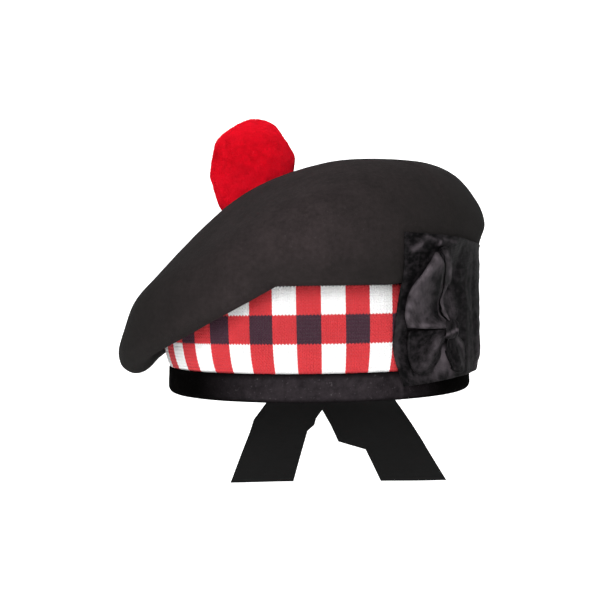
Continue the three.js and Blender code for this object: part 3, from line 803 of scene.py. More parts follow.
def makeDiceBand():
    shape = diceShape
    backing = diceMaterial("diceBacking", False)
    nodes["dice_band"].data.materials.clear()
    nodes["dice_band"].data.materials.append(backing)
    stitchWool = diceMaterial("diceStitches", True)
    pair = shape["whiteStitches"] + shape["redStitches"]
    columns = shape["pairs"] * pair
    height = headSizes["bandTop"] - headSizes["bindingTop"]
    pitch = height / (shape["dicingRows"] * shape["rowsOfStitches"])
    width = 2 * math.pi * headSizes["bandTopRadius"] / columns
    stitch = bpy.data.objects.new("stitchPattern", stitchMesh(width, pitch))
    tree, identifiers = knitTree()
    for dicingRow, name in enumerate(("stitches_lower", "stitches_middle", "stitches_upper")):
        values = {
            "Stitch": stitch,
            "Columns": columns,
            "Pair": pair,
            "White": shape["whiteStitches"],
            "Rows": shape["rowsOfStitches"],
            "First Row": dicingRow * shape["rowsOfStitches"],
            "Start Turn": math.radians(shape["whiteStart"]),
            "Bottom": headSizes["bindingTop"] + shape["raise"],
            "Pitch": pitch,
            "Total Height": height,
            "Radius": headSizes["bandTopRadius"] - headSizes["bandFlare"] + shape["stand"],
            "Flare": headSizes["bandFlare"],
            "Middle": 1.0 if dicingRow == 1 else 0.0,
            "Material": stitchWool,
        }
        base = bpy.data.meshes.new(name + "Base")
        finishPiece(runTree(name, base, tree, identifiers, values, stitchWool))
    bpy.data.objects.remove(stitch)


makeDiceBand()
print("diced band ready")


# Rim binding: a folded strip of wool round the band's lower edge

bindingShape = {
    "wall": 1.4 * mm,
    "innerHeight": 12.0 * mm,
    "corner": 3.4 * mm,
    "turns": 480,
    "seamTurn": 27.6,  # degrees from the front to the join of the strip
    "seamWidth": 0.5,
    "seamHeight": 0.7 * mm,
    # how much lighter the binding is along the seam
    "seamLighter": 0.8,
    "lump": 0.25 * mm,
    "lumpScales": (120.0, 35.0),
    # depth of the painted shade on the binding's sides
    "paintedShadeDepth": 1.05,
    "edgeShare": 0.15,  # darker toward both edges: the share of the lighter colour that they keep
    "lowEdge": 3.0 * mm,
    "topEdge": (0.4 * mm, 4.0 * mm),
}
# Painted shade on the binding's sides, darkened to near black: middle and half width of each stretch in
# degrees from the front
shadedStretches = {"droopSide": (-66.0, 38.0), "cockadeSide": (64.5, 36.0)}


def bindingProfile():
    outer = headSizes["bindingRadius"]
    inner = headSizes["innerRadius"]
    top = headSizes["bindingTop"]
    wall = bindingShape["wall"]
    corner = bindingShape["corner"]
    innerTop = bindingShape["innerHeight"]
    soft = 0.4 * mm
    edge = 0.3 * mm
    hollow = wall + 0.2 * mm
    points = []
    for share in np.linspace(0.0, 1.0, 9):
        points.append((outer - 0.15 * mm * math.cos(math.pi * share), mixValues(top - soft, corner, share)))
    quarter = [math.pi / 2 * step / 6 for step in range(1, 7)]
    for turn in quarter:
        points.append((outer - corner + corner * math.cos(turn), corner - corner * math.sin(turn)))
    for turn in quarter:
        points.append((inner + corner - corner * math.sin(turn), corner - corner * math.cos(turn)))
    points += [
        (inner, innerTop - soft),
        (inner + soft, innerTop),
        (inner + wall - edge, innerTop),
        (inner + wall, innerTop - edge),
        (inner + wall, hollow),
        (outer - wall, hollow),
        (outer - wall, top - edge),
        (outer - wall + edge, top),
        (outer - 0.45 * mm, top),
    ]
    return points


def makeBinding():
    shape = bindingShape
    profile = bindingProfile()
    turns = shape["turns"]
    count = len(profile)
    top = headSizes["bindingTop"]
    points = []
    shadingValues = []
    for step in range(turns):
        turn = 2 * math.pi * step / turns
        around = Vector((math.sin(turn), -math.cos(turn), 0))
        fromFront = math.degrees(turn) if turn < math.pi else math.degrees(turn) - 360.0
        seam = math.exp(-((fromFront - shape["seamTurn"]) / shape["seamWidth"]) ** 2)
        # Painted shade: each side of the binding is darkened to near black over a stretch; the binding is
        # also darker toward both edges and lighter along the seam
        sideShade = sum(math.exp(-((fromFront - middle) / span) ** 4) for middle, span in shadedStretches.values())
        paintedShading = max(1.0 - shape["paintedShadeDepth"] * sideShade, 0.0)
        for reach, height in profile:
            above = smoothShare(0.0, shape["lowEdge"], height)
            below = smoothShare(*shape["topEdge"], top - height)
            lintAndPaintedLight = mixValues(shape["edgeShare"], 1.0, float(above * below))
            shadingValues.append(paintedShading * lintAndPaintedLight + shape["seamLighter"] * seam)
            place = around * reach + Vector((0, 0, height))
            lump = shape["lump"] * sum(noise.noise(place * scale) for scale in shape["lumpScales"])
            points.append(place + around * (lump + seam * shape["seamHeight"]))
    faces = []
    for step in range(turns):
        faces += ringFaces(step * count, (step + 1) % turns * count, count)
    mesh = meshFrom("bindingStrip", points, faces)
    setPointValues(mesh, "lintAndPaintedLight", shadingValues)
    return finishPiece(makeObject("bindingStrip", mesh, bindingWool), "rim_binding")


makeBinding()
print("rim binding ready")


# A fibre with a point at each end and one ring between, standing along Z
def strandMesh():
    low, middle, high = toorieShape["strandHeights"]
    sides = toorieShape["strandSides"]
    width = toorieShape["strandWidth"]
    turns = [2 * math.pi * side / sides for side in range(sides)]
    ring = np.array([(width * math.cos(turn), width * math.sin(turn), middle) for turn in turns])
    return poledMesh("strand", (0.0, 0.0, low), [ring], (0.0, 0.0, high))


def pileTree():
    tree, identifiers, given = geometryTree("woolPile", {
        "Object": ("Strand",),
        "Float": ("Density", "Length", "Length Change", "Width", "Lean"),
        "Int": ("Seed",),
        "Material": ("Material",),
    })
    calc = partial(mathNode, tree)
    seed = given["Seed"]
    spots = {"Mesh": given["Geometry"], "Density": given["Density"], "Seed": seed}
    scatter = addNode(tree, "GeometryNodeDistributePointsOnFaces", spots, distribute_method="RANDOM").outputs
    strand = addNode(tree, "GeometryNodeObjectInfo", {"Object": given["Strand"]}, transform_space="ORIGINAL")
    anyWay = {"Min": (-1.0, -1.0, -1.0), "Max": (1.0, 1.0, 1.0), "Seed": seed}
    bend = addNode(tree, "FunctionNodeRandomValue", anyWay, data_type="FLOAT_VECTOR").outputs[0]
    lean = {0: bend, "Scale": given["Lean"]}
    sway = addNode(tree, "ShaderNodeVectorMath", lean, operation="SCALE").outputs[0]
    aim = addNode(tree, "ShaderNodeVectorMath", {0: scatter["Normal"], 1: sway}, operation="ADD").outputs[0]
    turned = addNode(tree, "FunctionNodeAlignRotationToVector", {"Vector": aim}, axis="Z").outputs[0]
    eitherWay = {"Min": -1.0, "Max": 1.0, "Seed": calc("ADD", seed, 7)}
    change = addNode(tree, "FunctionNodeRandomValue", eitherWay, data_type="FLOAT").outputs[1]
    length = calc("MULTIPLY_ADD", change, given["Length Change"], given["Length"])
    copies = addNode(tree, "GeometryNodeInstanceOnPoints", {
        "Points": scatter["Points"],
        "Instance": strand.outputs["Geometry"],
        "Rotation": turned,
        "Scale": vectorFrom(tree, given["Width"], given["Width"], length),
    })
    finishTree(tree, copies.outputs[0], given["Material"])
    return tree, identifiers


# Pompom: a firm head of wool with a dense clipped pile

toorieShape = {
    "centre": (-39.8 * mm, 0.0, 146.4 * mm),
    "radius": 27.4 * mm,
    "skirt": 10.0 * mm,
    "skirtToward": (-0.6, 0.0, -0.8),
    "clump": 0.45 * mm,
    "clumpScale": 8.5,
    "wave": 0.35 * mm,
    "waveScale": 3.2,
    "flatSoftness": 1.2 * mm,
    "flatFacing": 0.55,
    "pileCount": 32500,
    "pileRoot": 0.35,  # share of the pile's length that the head leaves for it
    "pileLength": 2.2 * mm,
    "pileChange": 0.5 * mm,
    "pileWidth": 0.34 * mm,
    "lean": 0.2,
    "seed": 3,
    "strandSides": 3,
    "strandHeights": (-0.15, 0.6, 1.0),
    "strandWidth": 1.1,
}
# Flats left by the shears: direction and distance from the middle
toorieFlats = {
    "upperRight": ((0.845, -0.05, 0.535), 24.4 * mm),
    "right": ((1.0, 0.05, -0.08), 25.8 * mm),
    "upperLeft": ((-0.507, -0.05, 0.862), 24.4 * mm),
    "left": ((-0.99, -0.05, 0.14), 26.2 * mm),
    "lowerLeft": ((-0.96, 0.0, -0.27), 29.2 * mm),
    "front": ((0.1, -0.98, 0.2), 25.6 * mm),
    "frontLeft": ((-0.6, -0.75, 0.2), 26.0 * mm),
    "frontLow": ((-0.1, -0.85, -0.5), 26.0 * mm),
    "back": ((-0.1, 0.98, 0.15), 25.6 * mm),
    "backRight": ((0.65, 0.72, 0.1), 25.8 * mm),
}


def toorieReach(direction):
    shape = toorieShape
    slope = Vector(shape["skirtToward"]).normalized()
    reach = shape["radius"] + shape["skirt"] * max(0.0, direction.dot(slope)) ** 3
    softness = shape["flatSoftness"]
    for normal, distance in toorieFlats.values():
        facing = direction.dot(Vector(normal).normalized())
        if facing > shape["flatFacing"]:
            flat = distance / facing
            blend = max(softness - abs(reach - flat), 0.0) / softness
            reach = min(reach, flat) - blend * blend * softness * 0.25
    clumps = shape["clump"] * noise.noise(direction * shape["clumpScale"])
    return reach + shape["wave"] * noise.noise(direction * shape["waveScale"]) + clumps


def makeToorie():
    shape = toorieShape
    builder = bmesh.new()
    bmesh.ops.create_icosphere(builder, subdivisions=6, radius=1.0)
    middle = Vector(shape["centre"])
    root = shape["pileLength"] * shape["pileRoot"]
    for vertex in builder.verts:
        direction = vertex.co.normalized()
        vertex.co = middle + direction * (toorieReach(direction) - root)
    mesh = bpy.data.meshes.new("toorieHead")
    builder.to_mesh(mesh)
    builder.free()
    points = np.array([point.co for point in mesh.vertices])
    finish = toorieFinish
    # Painted light: the pile turns lighter above and below a middle band and toward the right, lifting the
    # shade there
    nearMiddle = np.exp(-((points[:, 2] - finish["paintedLightMiddle"]) / finish["paintedLightSpread"]) ** 2)
    leftOf = 1 - smoothShare(*finish["paintedLightRight"], points[:, 0])
    setPointValues(mesh, "lintAndPaintedLight", (finish["paintedLightBase"] + finish["paintedLightMiddleShare"] * nearMiddle) * leftOf)
    strand = bpy.data.objects.new("pileStrand", strandMesh())
    values = {
        "Strand": strand,
        "Density": shape["pileCount"] / sum(face.area for face in mesh.polygons),
        "Length": shape["pileLength"] * 0.5,
        "Length Change": shape["pileChange"] * 0.5,
        "Width": shape["pileWidth"],
        "Lean": shape["lean"],
        "Seed": shape["seed"],
        "Material": toorieWool,
    }
    head = makeObject("toorieHead", mesh, toorieWool)
    tree, identifiers = pileTree()
    pile = runTree("tooriePile", mesh.copy(), tree, identifiers, values, toorieWool)
    bpy.data.objects.remove(strand)
    finishPiece(head, "toorie")
    finishPiece(pile)


makeToorie()
print("toorie ready")


# Cockade: ribbon folded into petals round a knot, on the band and the crown's side. Its tables are
# in millimetres: along the band from the knot, up from the knot, and out from what it lies on.

cockadeShape = {
    "turn": 45.0,
    "height": 39.0,
    "lean": 0.45,
    "wall": 0.5 * mm,
}
crownRowsForSeat = crownRowSizes()


def cockadePlaces(along, up, stand):
    turns = cockadeShape["turn"] + np.degrees(along * mm / headSizes["bandTopRadius"])
    heights = (cockadeShape["height"] + up) * mm
    reach = np.full(np.shape(along), headSizes["bandTopRadius"])
    rows = np.array([crownRowPoints(row, 90.0 + np.ravel(turns)) for row in crownRowsForSeat])
    for points in splineRows(rows, 5):
        away = np.hypot(points[:, 0], points[:, 1]).reshape(reach.shape)
        fall = np.abs(points[:, 2].reshape(reach.shape) - heights) * cockadeShape["lean"]
        reach = np.maximum(reach, away - fall)
    reach = reach + stand * mm
    angles = np.radians(turns)
    return np.stack([reach * np.sin(angles), -reach * np.cos(angles), heights], axis=-1)


# Sum of soft ridges along short lines; each line has its two ends, its width and its amount
def creaseSum(along, up, creases):
    total = np.zeros(np.shape(along))
    for fromAlong, fromUp, toAlong, toUp, width, amount in creases:
        runAlong = toAlong - fromAlong
        runUp = toUp - fromUp
        share = ((along - fromAlong) * runAlong + (up - fromUp) * runUp) / (runAlong ** 2 + runUp ** 2)
        share = np.clip(share, 0.0, 1.0)
        away = np.hypot(along - fromAlong - share * runAlong, up - fromUp - share * runUp)
        total += amount * np.exp(-(away / width) ** 2)
    return total


# Sum of even crumples; each layer has its amount, its scale and its seed
def crumpleSum(along, up, layers):
    places = list(zip(np.ravel(along), np.ravel(up)))
    total = np.zeros(np.shape(along))
    for amount, scale, seed in layers:
        flat = [noise.noise(Vector((a * scale, u * scale, seed))) for a, u in places]
        total += amount * np.array(flat).reshape(total.shape)
    return total


# An even run of points on a soft curve through a few
def curveThrough(points, count):
    dense = splineRows(np.array(points, dtype=float)[:, None, :], 16)[:, 0]
    steps = np.linalg.norm(np.diff(dense, axis=0), axis=1)
    lengths = np.concatenate([[0.0], np.cumsum(steps)])
    wanted = np.linspace(0.0, lengths[-1], count)
    return np.stack([np.interp(wanted, lengths, dense[:, axis]) for axis in (0, 1)], axis=1)


def cockadePiece(name, node, along, up, stand, tones):
    grid = cockadePlaces(along, up, stand)
    mesh = clothMesh(name, grid, cockadeShape["wall"], np.clip(tones, 0.0, 1.0))
    piece = finishPiece(makeObject(name, mesh, cockadeRibbon), node)


backShape = {
    "spread": 40.0,
    "rise": 53.0,
    "columns": 60,
    "perRow": 12,
    "stand": 1.7,
    "leastStand": 0.6,
    "roll": 2.5,
    "tuck": 0.9,
    "rollAlong": (0.45, 1.05),  # shares of the spread, and of the rise in the next two
    "tuckUp": (0.45, 1.0),
    "flatDown": (0.25, 0.6),
    "crumples": ((0.5, 0.09, 3.0), (0.25, 0.3, 7.0)),
    "tone": 0.045,
    "mottles": ((0.07, 0.16, 8.0),),
}
# Left and right ends of the backing's rows: along as shares of the spread, up as shares of the rise
backRows = {
    "lowerEnd": (-0.79, -0.585, 1.25, -0.5),
    "lowerMiddle": (-0.925, -0.283, 1.375, -0.245),
    "behindKnot": (-0.99, 0.057, 1.4, 0.057),
    "aboveKnot": (-1.015, 0.358, 1.4, 0.321),
    "upperMiddle": (-1.0, 0.623, 1.375, 0.566),
    "upperEnd": (-0.98, 0.85, 1.3, 0.82),
    "topFold": (-0.963, 1.0, 1.22, 0.94),
}
backCreases = (
    (-39.5, 38, -39.0, 0, 1.6, 0.7),
    (-37.0, -8, -31.5, -29, 1.6, 0.6),
    (-35, 43, -27, 50, 2.2, 1.2),
    (-27, 50, -18, 48, 1.8, 1.1),
    (-16, 49, -3, 48, 1.6, 0.9),
    (9, 46, 12, -20, 3.2, -1.1),
    (22, 40, 24, -24, 4.0, 0.9),
    (33, 38, 37, -24, 2.8, -0.8),
    (46, 26, 45, -24, 3.5, 0.6),
    (-30, 32, -20, 46, 3.0, -1.0),
    (14, 30, 30, 8, 2.6, 0.5),
    (40, 6, 47, -18, 2.2, 0.5),
)
# Painted highlights on the backing: glints along the top fold, light streaks down the right, a light patch
# between the lower petals, and light on the lower left and along the left edge
backPaintedHighlights = (
    (-35, 43.5, -30.5, 46.5, 1.4, 0.5),
    (-27, 50.5, -20.5, 49.2, 1.1, 0.34),
    (-18.2, 47.0, -17.8, 48.4, 0.9, 0.8),
    (-15, 49.6, -4, 48.6, 0.9, 0.25),
    (46, 32, 45, 16, 3.0, 0.05),
    (45, 10, 44, 0, 3.5, 0.05),
    (43, -6, 43, -24, 4.0, 0.20),
    (27, -8, 28, -24, 3.0, 0.10),
    (-3, -13, -9, -25.5, 3.0, 0.5),
    (-1.5, -13, -1.5, -22, 3.2, 0.6),
    (0, -15, 6, -25, 3.0, 0.5),
    (-26, -27, -14, -27, 2.4, 0.14),
    (-36.6, 7, -35.5, -18, 2.2, 0.20),
)


def makeCockadeBack():
    shape = backShape
    rows = np.array(list(backRows.values())) * ((shape["spread"], shape["rise"]) * 2)
    dense = splineRows(rows[:, None, :], shape["perRow"])[:, 0]
    share = np.linspace(0.0, 1.0, shape["columns"] + 1)[None]
    along = mixValues(dense[:, 0:1], dense[:, 2:3], share)
    up = mixValues(dense[:, 1:2], dense[:, 3:4], share)
    aside = smoothShare(*shape["rollAlong"], along / shape["spread"])
    upper = smoothShare(*shape["tuckUp"], up / shape["rise"])
    lower = smoothShare(*shape["flatDown"], -up / shape["rise"])
    roll = shape["roll"] * aside * (1 - upper) * (1 - lower)
    tuck = shape["tuck"] * aside * upper
    stand = shape["stand"] + roll - tuck + creaseSum(along, up, backCreases)
    stand = np.maximum(stand + crumpleSum(along, up, shape["crumples"]), shape["leastStand"])
    tones = shape["tone"] + creaseSum(along, up, backPaintedHighlights) + crumpleSum(along, up, shape["mottles"])
    cockadePiece("cockadeBacking", "cockade_back", along, up, stand, tones)


petalShape = {
    "rows": 26,
    "columns": 30,
    "turnSteps": 8,
    "leastBend": 1.0,
    "innerWidth": 0.93,
    "crumples": ((0.5, 0.14, 5.0), (0.22, 0.42, 6.0)),
    "mottles": ((0.8, 0.2, 2.0), (0.56, 0.6, 4.0)),
    "underShade": 0.04,
}
# Petals: the edge that leaves the knot first, the far edge, and the edge that comes back to the knot.
# The far edge turns under, and the ribbon runs back behind.
# Each petal's tone is its base lightness, partly the ribbon's shiny face on the upper left petal and dull
# back on the others, and partly painted light; its tones are painted highlights (added) and painted shade
# (taken away) along short lines
petals = {
    "cockade_loop_upper_left": {
        "name": "petalUpperLeft",
        "first": ((-2.5, 0.6), (-10, 0.6), (-20, 0.8), (-31.5, 1.6)),
        "far": ((-31.5, 1.6), (-35.2, 8), (-36.2, 16), (-35.0, 23.5), (-30, 31), (-22.4, 42.3)),
        "second": ((-2.5, 3.5), (-8.2, 10), (-9.2, 21), (-14.5, 32.5), (-22.4, 42.3)),
        "stands": (6.2, 5.6, 3.0),
        "creases": (
            (-4, 1.8, -30, 2.8, 1.7, 0.9), (-23.5, 40, -33, 24, 2.6, 0.8), (-9, 8, -13, 31, 3.0, -1.1),
            (-5, 4, -30, 15, 2.0, 0.8), (-5, 5, -23, 23, 2.4, -0.8), (-31, 6, -33, 20, 2.2, 0.5),
            (-12, 12, -19, 36, 1.5, 0.7), (-16, 10, -25, 30, 1.6, -0.6), (-10, 6, -22, 9, 1.2, 0.4),
        ),
        "tone": 0.42,
        "tones": (
            (-24, 39, -31.5, 28, 2.2, 0.36), (-33, 23, -34.5, 9, 2.4, 0.20), (-10, 7, -16, 31, 4.0, -0.30),
            (-9, 2.6, -30, 3.2, 1.2, 0.22), (-17, 22, -22, 30, 3.0, -0.16),
            (-35.2, 16, -35.6, 14, 1.2, 0.25), (-15, 34, -20, 42, 1.6, -0.10),
            (-14, 6, -17, 26, 4.6, -0.17),
        ),
    },
    "cockade_loop_upper_right": {
        "name": "petalUpperRight",
        "first": ((-1.5, 4), (-7.2, 9.5), (-8.4, 15), (-7.6, 22), (-12, 33), (-19.4, 44.4)),
        "far": ((-19.4, 44.4), (-15.5, 45.4), (-11.7, 44)),
        "second": ((3.5, 3.5), (7.2, 9), (6.4, 16.3), (-0.6, 27.7), (-5, 35), (-11.7, 44)),
        "stands": (6.0, 4.4, 2.8),
        "creases": (
            (-6, 24, -7.2, 13, 1.4, 0.9), (-7.2, 12, -1.5, 4, 1.4, 0.9), (-16, 43, -2, 28, 1.6, 0.8),
            (-2, 25, 0, 8, 2.2, -0.9),
        ),
        "tone": 0.10,
        "tones": (
            (-15, 41, -5, 31, 1.9, 0.36), (-4, 30, -1.5, 26, 1.4, 0.20), (-6.4, 24, -7.4, 13, 1.4, 0.50),
            (-7.2, 12, -1.5, 4, 1.1, 0.40), (-1, 18, 4.5, 6, 2.4, 0.22),
        ),
    },
    "cockade_leaf_lower_left": {
        "name": "petalLowerLeft",
        "first": ((-2.5, -3), (-5.6, -10), (-7.6, -16.5), (-14.5, -24.6)),
        "far": ((-14.5, -24.6), (-20.5, -24.6), (-25.6, -22.3), (-28.9, -15.5), (-29.6, -8), (-29.2, -0.6)),
        "second": ((-2.8, -0.2), (-9.4, -0.2), (-19, -0.4), (-29.2, -0.6)),
        "stands": (4.9, 3.9, 2.6),
        "creases": (
            (-7, -5, -18, -20, 2.2, 1.1), (-6, -9, -13, -21, 1.8, -0.8), (-9, -3, -27, -12, 2.6, -0.8),
            (-27, -3, -27, -18, 1.8, 0.6),
        ),
        "tone": 0.09,
        "tones": (
            (-8.5, -4, -12, -10, 1.8, 0.24), (-12, -10, -19, -20, 2.6, 0.20),
            (-26, -20, -16, -23, 2.0, 0.06), (-12, -1.5, -28, -1.5, 1.6, -0.06),
        ),
    },
    "cockade_leaf_lower_right": {
        "name": "petalLowerRight",
        "first": ((-0.4, -4), (-1.3, -13), (5, -23.3)),
        "far": ((5, -23.3), (11.5, -25.8), (17.6, -24.8), (19, -16), (16.7, -8.3)),
        "second": ((4, -1.5), (10, -4.4), (16.7, -8.3)),
        "stands": (4.7, 3.7, 2.6),
        "creases": ((3, -5, 12, -20, 2.2, 0.9), (1, -8, 6, -20, 1.8, -0.8), (8, -6, 16, -14, 2.0, 0.5)),
        "tone": 0.05,
        "tones": ((8, -6, 13, -9.5, 2.2, 0.36), (14, -12, 16, -21, 2.5, 0.10)),
    },
}


def makePetal(node, spec):
    shape = petalShape
    rows = shape["rows"]
    columns = shape["columns"]
    first = curveThrough(spec["first"], rows + 1)[:, None]
    second = curveThrough(spec["second"], rows + 1)[:, None]
    far = curveThrough(spec["far"], columns + 1)[None]
    v = np.linspace(0.0, 1.0, rows + 1)[:, None, None]
    w = np.linspace(0.0, 1.0, columns + 1)[None, :, None]
    near = mixValues(first[0], second[0], w[0])[None]
    corners = (1 - v) * near + v * mixValues(first[-1], second[-1], w)
    face = mixValues(first, second, w) + mixValues(near, far, v) - corners
    along = face[..., 0]
    up = face[..., 1]
    nearStand, farStand, backStand = spec["stands"]
    stand = mixValues(nearStand, farStand, v[:, :, 0]) + creaseSum(along, up, spec["creases"])
    stand = stand + crumpleSum(along, up, shape["crumples"])
    bend = np.maximum(stand[-1] - backStand, shape["leastBend"]) / 2
    outward = unitRows(face[-1] - face[-4])
    layers = [face[:-1] - outward[None] * (bend[None, :, None] * v[:-1])]
    stands = [stand[:-1]]
    for step in range(shape["turnSteps"] + 1):
        angle = math.pi * step / shape["turnSteps"]
        layers.append((face[-1] - outward * (bend * (1 - math.sin(angle)))[:, None])[None])
        stands.append((stand[-1] - bend * (1 - math.cos(angle)))[None])
    inner = mixValues(face[:, columns // 2][:, None], face, shape["innerWidth"])
    layers.append(inner[-2:10:-1] - outward[None] * bend[None, :, None])
    stands.append(np.full((len(layers[-1]), columns + 1), backStand))
    place = np.concatenate(layers)
    stand = np.concatenate(stands)
    along = place[..., 0]
    up = place[..., 1]
    mottle = 1 + crumpleSum(along, up, shape["mottles"])
    tones = (spec["tone"] + creaseSum(along, up, spec["tones"])) * mottle
    # Painted shade on the turn and on the layer behind it
    tones[len(face) - 1:] -= shape["underShade"]
    cockadePiece(spec["name"], node, along, up, stand, tones)


knotShape = {
    "reach": 5.6,
    "half": 5.4,
    "stand": 5.2,
    "depth": 3.6,
    "points": (30, 60),  # across the wrap and round it
    "wrap": 0.985,  # share of a full turn
    "waist": 0.22,
    "sway": (0.5, 3),
    "pleat": 0.35,
    "pleatTurn": 9.0,
    "tone": 0.10,
    # painted highlight: a light streak across the knot's lower edge
    "tones": ((-5.5, -3.2, 1.0, -0.6, 1.0, 0.5), (1.0, -0.6, 4.5, -0.8, 0.9, 0.6)),
}


def makeKnot():
    shape = knotShape
    across, around = shape["points"]
    sway, swayTurns = shape["sway"]
    side = np.linspace(-1.0, 1.0, across + 1)[None]
    turn = np.linspace(0.0, 2 * math.pi * shape["wrap"], around + 1)[:, None]
    reach = shape["reach"] * (1 - shape["waist"] * side ** 2)
    along = side * shape["half"] + sway * np.sin(turn * swayTurns)
    up = reach * np.cos(turn) + 0 * side
    pleats = shape["pleat"] * np.cos(side * shape["pleatTurn"]) * np.sin(turn)
    stand = shape["stand"] + reach / shape["reach"] * shape["depth"] * np.sin(turn) + pleats
    tones = shape["tone"] + creaseSum(along, up, shape["tones"])
    cockadePiece("cockadeKnot", "cockade_knot", along + 0 * turn, up, stand, tones)


makeCockadeBack()
for node, spec in petals.items():
    makePetal(node, spec)
makeKnot()
print("cockade ready")


# Ribbon tails at the back

tailShape = {
    "width": 43.5,
    "drop": 80.0,
    "top": 12.0,
    "swing": 80.0,
    "wall": 0.7 * mm,
    "gap": 0.9,
    "layerGap": 1.5,
    "columns": 30,
    "perRow": 8,
    "freeAt": 0.35,  # share of the drop where the ribbon leaves the binding's curve
    "sideWave": (0.8, 0.09, 4),
    "downWave": (0.5, 9),
}
# Rows of each tail: its place down as a share of the drop, its middle aside as a share of the swing,
# and its width as a share of the ribbon's
tailRows = {
    "tail_left": {
        "name": "ribbonTailLeft",
        "flat": (0.0435, 0.105),
        "layer": 0,
        "rows": (
            (-0.15, 0.1, 1.07), (0.0, -0.01, 1.08), (0.27, -0.194, 1.08), (0.41, -0.3, 1.08),
            (0.47, -0.318, 1.085), (0.525, -0.36, 1.0), (0.75, -0.44, 1.045), (1.0, -0.525, 1.09),
        ),
    },
    "tail_right": {
        "name": "ribbonTailRight",
        "flat": (0.054, 0.110),
        "layer": 1,
        "rows": (
            (-0.15, 0.172, 1.357), (0.0, 0.255, 1.36), (0.27, 0.39, 1.37), (0.48, 0.517, 1.41),
            (0.63, 0.596, 1.457), (0.71, 0.746, 1.07), (0.85, 0.82, 1.1), (1.012, 0.905, 1.14),
        ),
    },
}


def makeTail(node, spec):
    shape = tailShape
    rows = np.array(spec["rows"])
    places = rows[:, 0]
    spans = zip(places[:-1], places[1:])
    runs = [np.linspace(low, high, shape["perRow"], endpoint=False) for low, high in spans]
    downs = np.concatenate(runs + [places[-1:]])
    middles = np.interp(downs, places, rows[:, 1]) * shape["swing"]
    widths = np.interp(downs, places, rows[:, 2]) * shape["width"]
    seat = headSizes["bindingRadius"] / mm + shape["gap"] + spec["layer"] * shape["layerGap"]
    columns = shape["columns"]
    sideWave, sidePitch, sideShift = shape["sideWave"]
    downWave, downPitch = shape["downWave"]
    grid = []
    for down, middle, width in zip(downs, middles, widths):
        height = down / places[0] * shape["top"] if down < 0 else -down * shape["drop"]
        hang = float(smoothShare(0.0, shape["freeAt"], down))
        line = []
        for column in range(columns + 1):
            across = middle + (column / columns - 0.5) * width
            wave = sideWave * math.sin(across * sidePitch + down * sideShift)
            reach = seat + hang * (wave + downWave * math.sin(down * downPitch))
            x = mixValues(reach * math.sin(across / reach), across, hang)
            y = mixValues(reach * math.cos(across / reach), reach, hang)
            line.append((x * mm, y * mm, height * mm))
        grid.append(line)
    mesh = clothMesh(spec["name"], np.array(grid), shape["wall"], np.full(len(grid) * (columns + 1), 0.5))
    tail = finishPiece(makeObject(spec["name"], mesh, tailRibbon), node)


for node, spec in tailRows.items():
    makeTail(node, spec)
print("tails ready")


# Stage, light and camera

stageShape = {
    "floor": -0.30,
    "back": 1.6,
    "front": -3.0,
    "half": 4.0,
    "height": 3.0,
    "bend": 0.8,
    "bendSteps": 12,
    "glow": 0.2,  # light that the paper gives to the bonnet
    "ringRadius": 3.9,
    "ringLow": -2.0,
    "ringHigh": 3.0,
    "ringSides": 96,
    "paper": (0.92, 0.92, 0.92, 1.0),
}


# White paper, which is part of the stage
def makePaper(name, points, faces, glow):
    mesh = bpy.data.meshes.new(name)
    mesh.from_pydata(points, [], faces)
    material, tree, shader = newMaterial(name + "Paper")
    shader.inputs["Base Color"].default_value = stageShape["paper"]
    shader.inputs["Roughness"].default_value = 1.0
    shader.inputs["Emission Color"].default_value = (1.0, 1.0, 1.0, 1.0)
    seen = tree.nodes.new("ShaderNodeLightPath").outputs["Is Camera Ray"]
    strength = mathNode(tree, "MULTIPLY_ADD", seen, 1.0 - glow, glow)
    tree.links.new(strength, shader.inputs["Emission Strength"])
    paper = makeObject(name, mesh, material)
    return paper


def makeStage():
    shape = stageShape
    back = shape["back"] - shape["bend"]
    profile = [(shape["front"], shape["floor"])]
    for step in range(shape["bendSteps"] + 1):
        turn = math.pi / 2 * step / shape["bendSteps"]
        rise = shape["bend"] * (1 - math.cos(turn))
        profile.append((back + shape["bend"] * math.sin(turn), shape["floor"] + rise))
    profile.append((shape["back"], shape["height"]))
    points = [(side * shape["half"], y, z) for y, z in profile for side in (-1, 1)]
    faces = [(2 * i, 2 * i + 1, 2 * i + 3, 2 * i + 2) for i in range(len(profile) - 1)]
    makePaper("sweep", points, faces, shape["glow"])


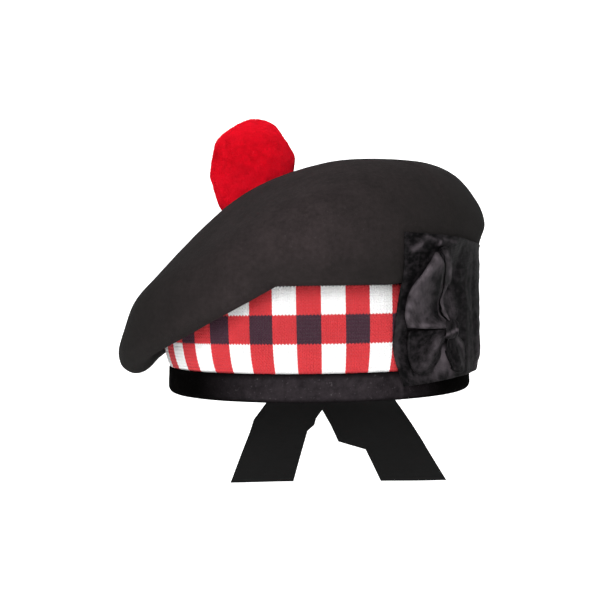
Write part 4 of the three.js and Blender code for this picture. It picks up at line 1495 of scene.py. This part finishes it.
# Paper all round, which shows behind the bonnet from other sides and casts no light
def makeRing():
    shape = stageShape
    count = shape["ringSides"]
    turns = [2 * math.pi * step / count for step in range(count)]
    radius = shape["ringRadius"]
    heights = (shape["ringLow"], shape["ringHigh"])
    points = [(radius * math.sin(turn), radius * math.cos(turn), z) for z in heights for turn in turns]
    ring = makePaper("ring", points, ringFaces(0, count, count), 1.0)
    ring.visible_diffuse = False
    ring.visible_glossy = False
    ring.visible_shadow = False


def makeLight(name, place, target, size, power):
    data = bpy.data.lights.new(name, "AREA")
    data.shape = "SQUARE"
    data.size = size
    data.energy = power
    light = bpy.data.objects.new(name, data)
    light.location = place
    light.rotation_euler = (Vector(target) - light.location).to_track_quat("-Z", "Y").to_euler()
    bpy.context.scene.collection.objects.link(light)


# Each light: its place, what it is aimed at, its side and its power
studioLights = {
    "keyLight": ((-0.2, -1.5, 0.5), (0.0, 0.0, 0.06), 0.7, 18.5),
    "fillLight": ((0.1, -1.35, -0.12), (0.0, 0.0, 0.06), 0.7, 4.5),
    "topLight": ((0.0, 0.1, 1.3), (0.0, 0.0, 0.1), 0.8, 3.0),
}
skyStrength = 0.26


def makeWorld():
    world = bpy.data.worlds.new("studio")
    world.use_nodes = True
    background = world.node_tree.nodes["Background"]
    background.inputs["Color"].default_value = (1.0, 1.0, 1.0, 1.0)
    background.inputs["Strength"].default_value = skyStrength
    bpy.context.scene.world = world
    bpy.context.scene.view_settings.view_transform = "Standard"


cameraShape = {
    "distance": 0.600,
    "x": -0.01122,
    "z": 0.0567,
    "lens": 55.5,
    "sensor": 36.0,
    "clipStart": 0.01,
    "roll": 0.9,
}


def makeCamera():
    shape = cameraShape
    data = bpy.data.cameras.new("camera")
    data.sensor_width = shape["sensor"]
    data.lens = shape["lens"]
    data.clip_start = shape["clipStart"]
    camera = bpy.data.objects.new("camera", data)
    camera.location = (shape["x"], -shape["distance"], shape["z"])
    camera.rotation_euler = (math.pi / 2, math.radians(shape["roll"]), 0.0)
    bpy.context.scene.collection.objects.link(camera)
    bpy.context.scene.camera = camera


makeStage()
makeRing()
for name, values in studioLights.items():
    makeLight(name, *values)
makeCamera()
makeWorld()
print("stage, light and camera ready")
